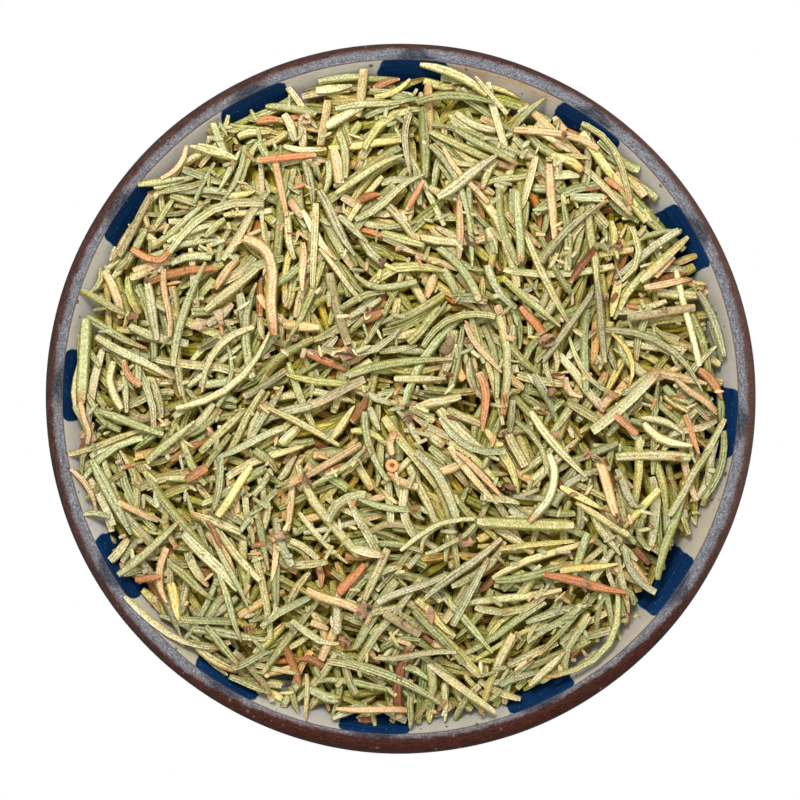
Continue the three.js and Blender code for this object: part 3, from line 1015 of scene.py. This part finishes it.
def new_leaf(kind, length, width, bend):
    """All that is drawn by lot for one leaf. The order of the draws is what keeps the heap the same."""
    tones = [np.array(tone) for tone in KINDS[kind]]
    first, second = rng.integers(0, len(tones), 2)
    share = rng.random()
    tone = tones[first] * share + tones[second] * (1 - share)
    warmth = float(np.clip(rng.normal(0, WARMTH_SPREAD), *WARMTH_LIMITS))
    warmed = (1 + warmth, 1, 1 - max(1.5 * warmth, -0.3 * warmth))
    is_woody = kind == "bark"
    return {
        "kind": kind,
        "length": length,
        "width": width,
        "bend": bend,
        "thickness": width * THICKNESS_SHARE,
        "tone": np.clip(tone * rng.normal(1, TONE_SPREAD) * warmed, 20, 240),
        "underside_up": rng.random() < UNDERSIDE_SHARE,
        "roll": rng.normal(0, 0.35),
        "twist": rng.normal(0, 0.3),
        "sag": rng.normal(0, 0.016) * length,
        "wave": rng.normal(0, 0.011) * length,
        "root": WOODY_END if is_woody else rng.choice(ROOT_WIDTHS, p=ROOT_ODDS),
        "tip": WOODY_END if is_woody else rng.choice(TIP_WIDTHS, p=TIP_ODDS),
        "grooved": float(np.clip(rng.normal(0.62, 0.38), 0, 1)),
        "brown_tip": rng.random() < BROWN_TIP_SHARE,
        "pale_ends": rng.random() < PALE_ENDS_SHARE,
        "fade": rng.normal(0, 0.05),
    }


def settle(leaf, x, y, heading, z, slope):
    """Puts a leaf down, pressed into the heap where it would stand proud of it."""
    room = CEILING - ROLLED_HALF * leaf["width"] - abs(slope) * leaf["length"] / 2
    z = min(float(z) - NESTLE, float(room))
    leaf.update(x=float(x), y=float(y), heading=float(heading), z=z, slope=float(slope))
    lay(leaf)
    return leaf


def kept_inside(x, y, heading, length, width, reach):
    """Slides leaves inwards until both of their ends are within reach of the heap's middle."""
    x, y = x - LEANS[0], y - LEANS[1]
    for _ in range(3):
        end_x, end_y = np.cos(heading) * length / 2, np.sin(heading) * length / 2
        far = np.maximum(np.hypot(x + end_x, y + end_y), np.hypot(x - end_x, y - end_y)) + width / 2
        from_middle = np.maximum(np.hypot(x, y), 1)
        bareward = (x * BARE_SIDE[0] + y * BARE_SIDE[1]) / from_middle
        bare = np.clip((bareward - BARE_FROM) / BARE_OVER, 0, 1)
        pull = 1 - np.maximum(far - reach + BARE_BY * bare, 0) / from_middle
        x, y = x * pull, y * pull
    return x + LEANS[0], y + LEANS[1]


def badness(x, y, heading, length, width, bend):
    """How far over the dome a leaf would lie at each try, worse if it is steep."""
    z, slope = rest(x, y, heading, length, width, bend)
    score = z - heap_top(x, y) + FLATNESS * np.abs(slope)
    return score + TOO_STEEP * (np.abs(slope) > STEEPEST), z, slope


def pour_one():
    kind = kind_names[rng.choice(len(kind_names), p=kind_odds)]
    middle = MIDDLE_LENGTH * (BROWN_SHORTER if kind in ("tan", "rust", "aged", "bark") else 1)
    length = float(np.clip(middle * math.exp(rng.normal(0, LENGTH_SPREAD)), *LEAF_LENGTHS))
    width = float(np.clip(rng.normal(MIDDLE_WIDTH, WIDTH_SPREAD), *LEAF_WIDTHS))
    bend_spread = GENTLE_BEND if rng.random() < GENTLE_SHARE else STRONG_BEND
    bend = rng.normal(0, bend_spread) * length
    leaf = new_leaf(kind, length, width, bend)
    reach = REACH + OVERHANG * (rng.random() < OVERHANG_SHARE)
    r = reach * np.sqrt(rng.random(TRIES))
    place = rng.random(TRIES) * 2 * math.pi
    x, y = r * np.cos(place), r * np.sin(place)
    heading = rng.random(TRIES) * 2 * math.pi
    if rng.random() < ALONGSIDE_SHARE:
        apart = (x[:, None] - seen_places[:, 0]) ** 2 + (y[:, None] - seen_places[:, 1]) ** 2
        heading = seen_headings[apart.argmin(1)] + rng.normal(0, ALONGSIDE_SPREAD, TRIES)
    x, y = kept_inside(x, y, heading, length, width, reach)
    best = badness(x, y, heading, length, width, bend)[0].argmin()
    x = x[best] + NUDGE_MM * rng.normal(0, 1, NUDGES)
    y = y[best] + NUDGE_MM * rng.normal(0, 1, NUDGES)
    heading = heading[best] + NUDGE_TURN * rng.normal(0, 1, NUDGES)
    x, y = kept_inside(x, y, heading, length, width, reach)
    score, z, slope = badness(x, y, heading, length, width, bend)
    best = score.argmin()
    if score[best] > TOO_STEEP / 2:
        return None
    return settle(leaf, x[best], y[best], heading[best], z[best], slope[best])


poured = []
open_ground = map_r < OPEN_GROUND_R
lift = -BED_DEPTH
while lift < FULL and len(poured) < MOST_POURED:
    poured += [leaf for leaf in (pour_one() for _ in range(BATCH)) if leaf]
    lift = float(np.median((height_map - heap_top(map_x, map_y))[open_ground]))
print(len(poured), "leaves poured; the heap stands", round(lift, 2), "mm over the dome")

# %% [markdown]
# Crumbs and broken ends drop last of all and go as they fall, without looking for a hollow. The
# leaves further down get a darker, browner tone: painted shade, which gives the gaps their warm brown.

# %% Crumbs, and painted shade on deeper leaves
CRUMBS = 700
CRUMB_LENGTHS = (0.8, 2.6)
CRUMB_WIDTHS = (0.45, 0.95)
CRUMB_REACH = 50
STEEPEST_CRUMB = 0.8
UNSHADED_SHARE, SHADED_OVER = 0.12, 0.4
DEPTH_SHADE = np.array((0.12, 0.19, 0.7))

crumbs = []
for _ in range(CRUMBS):
    kind = kind_names[rng.choice(len(kind_names), p=kind_odds)]
    length, width = rng.uniform(*CRUMB_LENGTHS), rng.uniform(*CRUMB_WIDTHS)
    crumb = new_leaf(kind, length, width, 0)
    r, place, heading = CRUMB_REACH * math.sqrt(rng.random()), *(rng.random(2) * 2 * math.pi)
    x, y = r * math.cos(place), r * math.sin(place)
    z, slope = rest(x, y, heading, length, width, 0)
    slope = np.clip(slope[0], -STEEPEST_CRUMB, STEEPEST_CRUMB)
    crumbs.append(settle(crumb, x, y, heading, z[0], slope))
# Painted shade: the deeper a leaf lies, the darker and browner its tone.
for order, leaf in enumerate(poured):
    from_top = 1 - order / len(poured)
    shade_by_depth = min(max((from_top - UNSHADED_SHARE) / SHADED_OVER, 0), 1)
    leaf["tone"] = leaf["tone"] * (1 - shade_by_depth * DEPTH_SHADE)

# %% [markdown]
# The listed leaves come last. Each starts from two end points, so its heading and
# length follow, and it rests on the heap like any other.

# %% Lay the leaves on top
def lay_by_sight(kind, x0, y0, x1, y1, bend=0, width=USUAL_WIDTH):
    heading = math.atan2(y1 - y0, x1 - x0)
    length = math.hypot(x1 - x0, y1 - y0)
    x, y = aside((x0 + x1) / 2, (y0 + y1) / 2, heading, bend * BEND_MIDDLE)
    leaf = new_leaf(kind, length, width, bend)
    leaf["roll"] *= 0.5
    z, slope = rest(x, y, heading, length, width, bend)
    return settle(leaf, x, y, heading, z[0], np.clip(slope[0], -STEEPEST, STEEPEST))


on_top = []
for kind, rows in TOP_LEAVES.items():
    on_top += [lay_by_sight(kind, *row) for row in rows]

# %% [markdown]
# A few pieces are crooked: a hooked stalk, a pale curl, a fork of thin leaves. They follow a smooth
# curve through several points of the picture. Such a piece is limp, so its height follows the heap,
# but never more steeply than about one in eight.

# %% Lay the crooked pieces
PATH_STEPS = 41
LIMP_SLOPE = 0.13
EVENED_OVER = 9
CURVE_STEPS = 300


def smooth_path(points):
    """Points at equal steps along a smooth curve through the given ones, and its length."""
    given = np.array(points, float)
    marks = np.concatenate([[0], np.cumsum(np.hypot(*np.diff(given, axis=0).T))])
    slopes = np.gradient(given, marks, axis=0)
    fine = np.linspace(0, marks[-1], CURVE_STEPS)
    k = np.clip(np.searchsorted(marks, fine, side="right") - 1, 0, len(given) - 2)
    span = (marks[k + 1] - marks[k])[:, None]
    s = (fine - marks[k])[:, None] / span
    curve = (2 * s**3 - 3 * s**2 + 1) * given[k] + (s**3 - 2 * s**2 + s) * span * slopes[k]
    curve += (3 * s**2 - 2 * s**3) * given[k + 1] + (s**3 - s**2) * span * slopes[k + 1]
    along = np.concatenate([[0], np.cumsum(np.hypot(*np.diff(curve, axis=0).T))])
    even = np.linspace(0, along[-1], PATH_STEPS)
    return np.stack([np.interp(even, along, curve[:, n]) for n in (0, 1)], 1), float(along[-1])


def lay_crooked(kind, width, *points):
    path, length = smooth_path(points)
    leaf = new_leaf(kind, length, width, 0)
    spots = [(dx, dy) for dx in (-0.3, 0, 0.3) for dy in (-0.3, 0, 0.3)]
    grounds = [height_map[cells(path[:, 0] + dx * width, path[:, 1] + dy * width)] for dx, dy in spots]
    ground = np.max(grounds, axis=0)
    s = np.linspace(0, length, PATH_STEPS)
    z = (ground[None] - LIMP_SLOPE * np.abs(s[:, None] - s[None])).max(1)
    padded = np.pad(z, EVENED_OVER // 2, mode="edge")
    z = np.convolve(padded, np.ones(EVENED_OVER) / EVENED_OVER, "valid") - NESTLE
    z = np.minimum(z, CEILING - ROLLED_HALF * width)
    for (x, y), level in zip(path, z):
        near = np.hypot(map_x - x, map_y - y) < width / 2
        height_map[near] = np.maximum(height_map[near], level + leaf["thickness"])
    leaf.update(path=path, levels=z, roll=leaf["roll"] * 0.4, grooved=leaf["grooved"] * 0.4)
    return leaf


crooked_bits = [lay_crooked(*row) for row in CROOKED]
print(len(crooked_bits), "crooked pieces")

# %% [markdown]
# ## From leaves to meshes
#
# Each leaf is now a blank that is stretched, tapered, twisted, bent and moved to where it rests. All
# leaves of one kind become one mesh, so that each kind can have its own finish, and the mesh keeps
# every leaf's own colour at its points and its own map: round the section, and along the leaf.

# %% Shape one leaf
SCREEN_GAMMA = 2.2
CUT_EDGE = 0.12


def rotated(a, b, angle):
    return a * np.cos(angle) - b * np.sin(angle), a * np.sin(angle) + b * np.cos(angle)


def shaped(blank, leaf):
    """The blank's points, in millimetres, as this leaf lies."""
    points = blank[0]
    along = points[:, 0]
    tipward = np.clip((along + 0.05) / 0.55, 0, 1)
    rootward = np.clip((-along - 0.1) / 0.4, 0, 1)
    narrowing = 1 - (1 - leaf["tip"]) * tipward**1.8 - (1 - leaf["root"]) * rootward**2.2
    narrowing = narrowing * (1 - CUT_EDGE * (np.abs(along) > 0.49))
    y = points[:, 1] * leaf["width"] * narrowing
    z = points[:, 2] * leaf["width"] * np.sqrt(narrowing)
    roll = leaf["roll"] + leaf["twist"] * 2 * along + (math.pi if leaf["underside_up"] else 0)
    y, z = rotated(y, z, roll)
    line = centre_line(*(leaf[key] for key in ("x", "y", "heading", "length", "bend")), along)
    heading = leaf["heading"] + np.arctan(-8 * leaf["bend"] * along / leaf["length"])
    y = y + leaf["wave"] * np.sin(2 * math.pi * along)
    sag = leaf["sag"] * (1 - 4 * along**2)
    height = leaf["z"] + leaf["slope"] * along * leaf["length"] + leaf["thickness"] / 2 + sag
    return np.stack([*aside(*line, heading, y), height + z], 1)


def crooked(blank, leaf):
    """As shaped, for a piece that follows a path."""
    points = blank[0]
    along = points[:, 0] + 0.5
    marks = np.linspace(0, 1, PATH_STEPS)
    line = [np.interp(along, marks, leaf["path"][:, n]) for n in (0, 1)]
    steps = np.gradient(leaf["path"], axis=0)
    heading = np.interp(along, marks, np.unwrap(np.arctan2(steps[:, 1], steps[:, 0])))
    tipward = np.clip((along - 0.8) / 0.2, 0, 1)
    rootward = np.clip((0.15 - along) / 0.15, 0, 1)
    narrowing = 1 - 0.35 * tipward**2 - 0.25 * rootward**2
    y = points[:, 1] * leaf["width"] * narrowing
    z = points[:, 2] * leaf["width"] * 1.1 * np.sqrt(narrowing)
    roll = leaf["roll"] + leaf["twist"] * along
    y, z = rotated(y, z, roll)
    height = np.interp(along, marks, leaf["levels"]) + leaf["thickness"] / 2
    return np.stack([*aside(*line, heading, y), height + z], 1)


def tinted(blank, leaf):
    """A colour for each of the blank's points, and how deep its groove is, as the fourth value."""
    along = blank[0][:, 0]
    tone = leaf["tone"] * (1 + leaf["fade"] * 2 * along)[:, None]
    brown = leaf["brown_tip"] * BROWN_BY * np.clip((along - 0.3) / 0.2, 0, 1)[:, None]
    tone = tone * (1 - brown) + np.array(BROWN_TIP) * brown
    pale = leaf["pale_ends"] * PALE_BY * np.clip((np.abs(along) - 0.4) / 0.1, 0, 1)[:, None]
    tone = tone * (1 - pale) + np.array(PALE_END) * pale
    linear = (np.clip(tone, 0, 255) / 255) ** SCREEN_GAMMA
    return np.concatenate([linear, np.full((len(linear), 1), leaf["grooved"])], 1)


# %% Gather leaves in one mesh
LEAF_SMOOTH_BELOW = math.radians(62)


def dress_leaves(piece, material):
    piece.data.materials.append(material)
    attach(piece, "root")
    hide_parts("leaf_heap")


def gather(name, blank, leaves, material, shape=shaped):
    """One mesh with all these leaves, each with its own tint and map."""
    points, faces, mapped = blank
    count = len(points)
    places = np.concatenate([shape(blank, leaf) for leaf in leaves]) * MM
    colours = np.concatenate([tinted(blank, leaf) for leaf in leaves])
    mesh = bpy.data.meshes.new(name)
    all_faces = [[v + k * count for v in face] for k in range(len(leaves)) for face in faces]
    mesh.from_pydata(places.tolist(), [], all_faces)
    tint = mesh.color_attributes.new("tint", "FLOAT_COLOR", "POINT")
    tint.data.foreach_set("color", colours.astype(np.float32).ravel())
    leaf_map = mesh.uv_layers.new(name="leaf_map")
    uv = np.tile(mapped, (len(leaves), 1))
    uv[:, 1] *= np.repeat([leaf["length"] for leaf in leaves], len(mapped))
    leaf_map.uv.foreach_set("vector", uv.astype(np.float32).ravel())
    piece = bpy.data.objects.new(name, mesh)
    bpy.context.scene.collection.objects.link(piece)
    select_only(piece)
    bpy.ops.object.shade_smooth_by_angle(angle=LEAF_SMOOTH_BELOW)
    dress_leaves(piece, material)
    top = round(places[:, 2].max() / MM, 1)
    print(name, len(leaves), "shapes,", len(all_faces), "faces, top at", top, "mm")


# %% [markdown]
# ## Skin of a dried leaf
#
# The group reads the leaf's own tint and map. Round the section, the upper side's groove and the two
# grooves of the underside are dark, partly their own colour and partly painted shade in the creases,
# and the midrib is pale. The sides of the section are darkened with painted shade, and the lobes and
# margins are lighter: pale felt on the margins and a painted highlight on the lobes. Along the leaf
# run fine fibres, and the skin is dotted light and dark: painted glints of tiny hairs and oil glands,
# and painted shade in tiny pits.

# %% Node group: leaf skin
MIDRIB = 0.0
UNDER_GROOVE = 0.1
MARGIN = 0.2
SIDE = 0.3
LOBE = 0.41
TOP_GROOVE = 0.5
SKIN_INPUTS = ("Groove", "Edge", "Grain", "Fibre", "Blotch")

leaf_skin, t, given, gives = new_group(
    "leaf_skin",
    [(name, NUMBER) for name in SKIN_INPUTS],
    [("Colour", COLOUR), ("Height", NUMBER)],
)
spot = t.object_mm()
tint = t.node("ShaderNodeAttribute", "Color", attribute_name="tint")
leaf_uv = t.node("ShaderNodeUVMap", "UV", uv_map="leaf_map")
round_section = t.node("ShaderNodeSeparateXYZ", "X", {0: leaf_uv})
fold = t.math("MINIMUM", round_section, 1.0 - round_section)


def band(place, full, none):
    """1 within full of a place round the section, 0 beyond none."""
    return t.ramp(abs(fold - place), none, full)


warm = t.ramp(t.noise(spot, 0.42), 0.5, 0.68)
green = t.ramp(t.noise(t.vector("ADD", spot, (31.0, 7.0, 0.0)), 0.5), 0.5, 0.68)
skin = t.filtered(warm * given["Blotch"], tint, (1.08, 0.9, 0.8))
skin = t.filtered(green * given["Blotch"], skin, (0.83, 0.9, 0.74))
# Painted shade: the sides of the section are darker.
skin = t.filtered(band(SIDE, 0.0, 0.16) * given["Edge"], skin, (0.45, 0.45, 0.1))
# Lighter lobes and margins: pale felt on the margins, and a painted highlight on the lobes.
lobes = t.math("MAXIMUM", band(LOBE, 0.0, 0.08), band(MARGIN, 0.0, 0.07))
skin = t.filtered(lobes * 0.5, skin, (1.15, 1.15, 1.13))
# Darker grooves: partly the leaf's own colour, partly painted shade in the creases.
grooves = t.math("MAXIMUM", band(TOP_GROOVE, 0.008, 0.055), band(UNDER_GROOVE, 0.008, 0.055))
grooves = grooves * t.ramp(t.noise(spot, 0.7, 1.0), 0.35, 0.6, 0.35, 1.0) * tint.beside("Alpha")
skin = t.filtered(grooves * given["Groove"], skin, (0.3, 0.34, 0.1))
skin = t.mix(band(MIDRIB, 0.01, 0.05) * 0.25, skin, (208, 200, 160))

fibre_place = t.vector("MULTIPLY", leaf_uv, (13.0, 1.5, 0.0))
fibre_place = t.vector("ADD", fibre_place, t.vector("MULTIPLY", spot, (0.0, 0.0, 0.6)))
fibres = t.noise(fibre_place, 1.0, 2.0, 0.6) - 0.5
grain = t.noise(spot, 4.2, 2.0, 0.65)
# Light dots are painted glints of tiny hairs and oil glands; dark dots are painted shade in tiny pits.
glints_and_pits = t.ramp(grain, 0.54, 0.68) - t.ramp(grain, 0.44, 0.32) * 0.7
light = 1.0 + fibres * given["Fibre"] * 2.0 + glints_and_pits * given["Grain"]
t.feed(gives["Colour"], t.scaled(skin, light))
t.feed(gives["Height"], (fibres + glints_and_pits) * 0.4 - grooves * 0.7)

# %% Finishes of the kinds
# Name: roughness, depth of the relief in millimetres, then the skin's inputs in their order.
FINISHES = {
    "sage_leaf": (0.6, 0.1, 0.9, 0.85, 0.95, 0.36, 0.6),
    "straw_leaf": (0.62, 0.1, 0.75, 0.8, 0.9, 0.36, 0.65),
    "brown_leaf": (0.66, 0.12, 0.6, 0.7, 0.8, 0.28, 0.7),
    "stem_bark": (0.8, 0.25, 0.1, 0.3, 0.7, 0.8, 0.8),
    "buried_leaf": (0.75, 0.08, 0.45, 0.8, 0.7, 0.2, 0.65),
}


def leaf_material(name, roughness, depth_mm, *skin_values):
    material, t, shader = new_material(name)
    inputs = zip(SKIN_INPUTS, skin_values)
    skin = t.node("ShaderNodeGroup", "Colour", inputs, node_tree=leaf_skin)
    t.feed(shader["Base Color"], skin)
    shader["Roughness"].default_value = roughness
    shader["Specular IOR Level"].default_value = 0.1
    t.bump(shader, skin.beside("Height"), 0.7, depth_mm)
    return material


finishes = {name: leaf_material(name, *values) for name, values in FINISHES.items()}

# The bed's dark brown is painted shade: it stands for the dark gaps deep between the leaves.
bed_material, t, shader = new_material("bed_painted_shade")
bed_mottle = mottled(t, t.object_mm(), 0.9, 1.0)
t.feed(shader["Base Color"], t.mix(bed_mottle, (70, 54, 20), (120, 98, 48)))
shader["Roughness"].default_value = 0.9
dress_leaves(bed, bed_material)

# %% Make the pieces
SHOWN = 2100
FAR_SIDE_FROM, FAR_SIDE_OVER, FAR_SIDE_PAINTED_LIGHT = 5, 35, 0.05
PIECES = {
    "sage_leaves": (("sage", "grey"), "sage_leaf"),
    "straw_leaves": (("straw", "pale", "yellow"), "straw_leaf"),
    "brown_leaves": (("tan", "rust", "aged"), "brown_leaf"),
    "stem_bits": (("bark",), "stem_bark"),
}

# Painted light: leaves are lighter towards the far side of the heap, at +Y.
for leaf in poured + on_top:
    far = np.clip((leaf["y"] - FAR_SIDE_FROM) / FAR_SIDE_OVER, 0, 1)
    leaf["tone"] = leaf["tone"] * (1 + FAR_SIDE_PAINTED_LIGHT * far)
gather("buried_leaves", plain_blank, poured[:-SHOWN], finishes["buried_leaf"])
gather("crumbs", plain_blank, crumbs, finishes["buried_leaf"])
for name, (kinds, finish) in PIECES.items():
    for ending, blank, leaves in (("", short_blank, poured[-SHOWN:]), ("_on_top", long_blank, on_top)):
        gather(name + ending, blank, [leaf for leaf in leaves if leaf["kind"] in kinds], finishes[finish])
gather("crooked_bits", crooked_blank, crooked_bits, finishes["straw_leaf"], crooked)

# %% [markdown]
# ## Husks and a bud
#
# A few crumpled husks lie between the leaves: dried flower cups, thin and torn at the mouth. The
# blank is a small cup with a wall, drawn with extrude and given its thickness by a Solidify
# modifier. Each copy is then squashed, crumpled and tipped over in its own way.

# %% Husk blank
HUSK_SIDES = 11
HUSK_RINGS = ((0.5, 0.34), (0.5, 0.08), (0.42, -0.18), (0.22, -0.42))
HUSK_WALL = 0.07
SMOOTH_PART = 0.43


def husk_blank():
    """Points, faces and map of a small cup, one across."""
    bpy.ops.object.select_all(action="DESELECT")
    radius, height = HUSK_RINGS[0]
    bpy.ops.mesh.primitive_circle_add(vertices=HUSK_SIDES, radius=radius, location=(0, 0, height))
    cup = bpy.context.active_object
    bpy.ops.object.transform_apply(location=True, rotation=True, scale=True)
    bpy.ops.object.mode_set(mode="EDIT")
    bpy.ops.mesh.select_all(action="SELECT")
    for (wide, high), (narrow, low) in zip(HUSK_RINGS, HUSK_RINGS[1:]):
        step = {"value": (0, 0, low - high)}
        bpy.ops.mesh.extrude_region_move(TRANSFORM_OT_translate=step)
        bpy.ops.transform.resize(value=(narrow / wide, narrow / wide, 1))
    bpy.ops.mesh.edge_face_add()
    end_drawing()
    wall = cup.modifiers.new("wall", "SOLIDIFY")
    wall.thickness = HUSK_WALL
    bpy.ops.object.modifier_apply(modifier="wall")
    points = vertex_places(cup)
    faces = [list(polygon.vertices) for polygon in cup.data.polygons]
    mapped = np.array([(SMOOTH_PART, points[v, 2] + 0.5) for face in faces for v in face])
    print(len(faces), "faces a husk,", open_edges(cup), "open edges")
    bpy.data.objects.remove(cup)
    return points, faces, mapped


cup_blank = husk_blank()

# %% Crumple and place husks
HUSKS_BY_SIGHT = (
    (-8.6, 7.1, 3.0), (-30.6, 11.5, 2.3), (-27.8, 12.6, 1.9), (-41.3, 12.6, 1.8), (-2.9, 20.8, 1.5),
    (-5.0, 13.2, 1.6), (7.4, 8.3, 2.6), (22.6, 9.0, 2.4), (16.6, -13.8, 2.2), (9.9, -21.8, 2.4),
    (-5.6, -32.4, 2.2), (-8.6, -37.6, 2.2), (4.6, -33.4, 2.0), (-18.5, -21.2, 2.0), (-14.6, -12.4, 1.8),
)
HUSKS_AT_RANDOM = 26
HUSK_REACH = 48
FOLD_PITCH, FOLD_DEPTH = 6.5, 0.15
HUSK_TONES = ((170, 138, 110), (150, 120, 94), (124, 96, 74), (184, 158, 126), (160, 124, 98))


def crumpled(blank, husk):
    points = blank[0].copy()
    for fold, phase, push in zip(husk["folds"], husk["phases"], husk["pushes"]):
        points += FOLD_DEPTH * np.sin(points @ fold * FOLD_PITCH + phase)[:, None] * push
    x, y, z = (points * (1, husk["squash"], 0.8)).T
    y, z = rotated(y, z, husk["tilt"])
    x, y = rotated(x, y, husk["heading"])
    return np.stack([x, y, z], 1) * husk["length"] + (husk["x"], husk["y"], husk["z"])


def new_husk(x, y, size):
    """A husk that lies on most of what is under it, and all that is drawn by lot for it."""
    i, j = cells(x + rng.uniform(-0.4, 0.4, 12) * size, y + rng.uniform(-0.4, 0.4, 12) * size)
    return {
        "x": x,
        "y": y,
        "z": min(float(np.quantile(height_map[i, j], 0.7)) + 0.12 * size, CEILING - 0.5 * size),
        "length": size,
        "squash": rng.uniform(0.45, 0.9),
        "tilt": rng.uniform(0.2, 1.9),
        "heading": rng.uniform(0, 2 * math.pi),
        "folds": rng.normal(0, 1, (3, 3)),
        "phases": rng.uniform(0, 6, 3),
        "pushes": rng.normal(0, 0.8, (3, 3)),
        "tone": np.array(HUSK_TONES[rng.integers(len(HUSK_TONES))]) * rng.normal(1, 0.08),
        "fade": rng.normal(0, 0.18),
        "brown_tip": False,
        "pale_ends": False,
        "grooved": 0.0,
    }


husks = [new_husk(*row) for row in HUSKS_BY_SIGHT]
for _ in range(HUSKS_AT_RANDOM):
    r, place = HUSK_REACH * math.sqrt(rng.random()), rng.uniform(0, 2 * math.pi)
    husks.append(new_husk(r * math.cos(place), r * math.sin(place), rng.uniform(0.9, 1.7)))
gather("husks", cup_blank, husks, finishes["brown_leaf"], crumpled)

# %% [markdown]
# One round orange bud lies face up near the middle. It is turned like the dish, with a dimple in its
# face, then tipped a little and set down on the leaves under it.

# %% The bud
BUD_PLACE = (-1.3, -10.3)
BUD_OUTLINE = (
    (0, -0.42), (0.62, -0.38), (0.98, -0.14), (1.06, 0.1), (0.97, 0.28), (0.78, 0.36),
    (0.54, 0.3), (0.4, 0.14), (0.22, 0.02), (0, 0),
)
BUD_TILT = (0.3, -0.12, 0)
BUD_LIFT = 0.3

bud = turned("round_bud", BUD_OUTLINE, 28)
i, j = cells(BUD_PLACE[0] + rng.uniform(-1, 1, 20), BUD_PLACE[1] + rng.uniform(-1, 1, 20))
bud.location = (BUD_PLACE[0] * MM, BUD_PLACE[1] * MM, (float(height_map[i, j].max()) + BUD_LIFT) * MM)
bud.rotation_euler = BUD_TILT
select_only(bud)
bpy.ops.object.transform_apply(location=True, rotation=True, scale=True)
bpy.ops.object.shade_smooth_by_angle(angle=SMOOTH_BELOW)

bud_material, t, shader = new_material("bud_skin")
spot = t.object_mm()
from_bud = t.vector("MULTIPLY", t.vector("SUBTRACT", spot, (*BUD_PLACE, 0.0)), (1.0, 1.0, 0.0))
ring = t.vector("LENGTH", from_bud) + (t.noise(spot, 1.6) - 0.5) * 0.5
bud_mottle = mottled(t, spot, 1.8, 0.9)
orange = t.mix(bud_mottle, (206, 142, 84), (236, 182, 122))
# Painted shade: the dimple in the bud's face is darker.
orange = t.mix(t.ramp(ring, 0.5, 0.25), orange, (130, 76, 40))
t.feed(shader["Base Color"], t.mix(t.ramp(ring, 1.0, 1.25), orange, (184, 122, 74)))
shader["Roughness"].default_value = 0.62
t.bump(shader, bud_mottle, 0.6, 0.1)
dress_leaves(bud, bud_material)
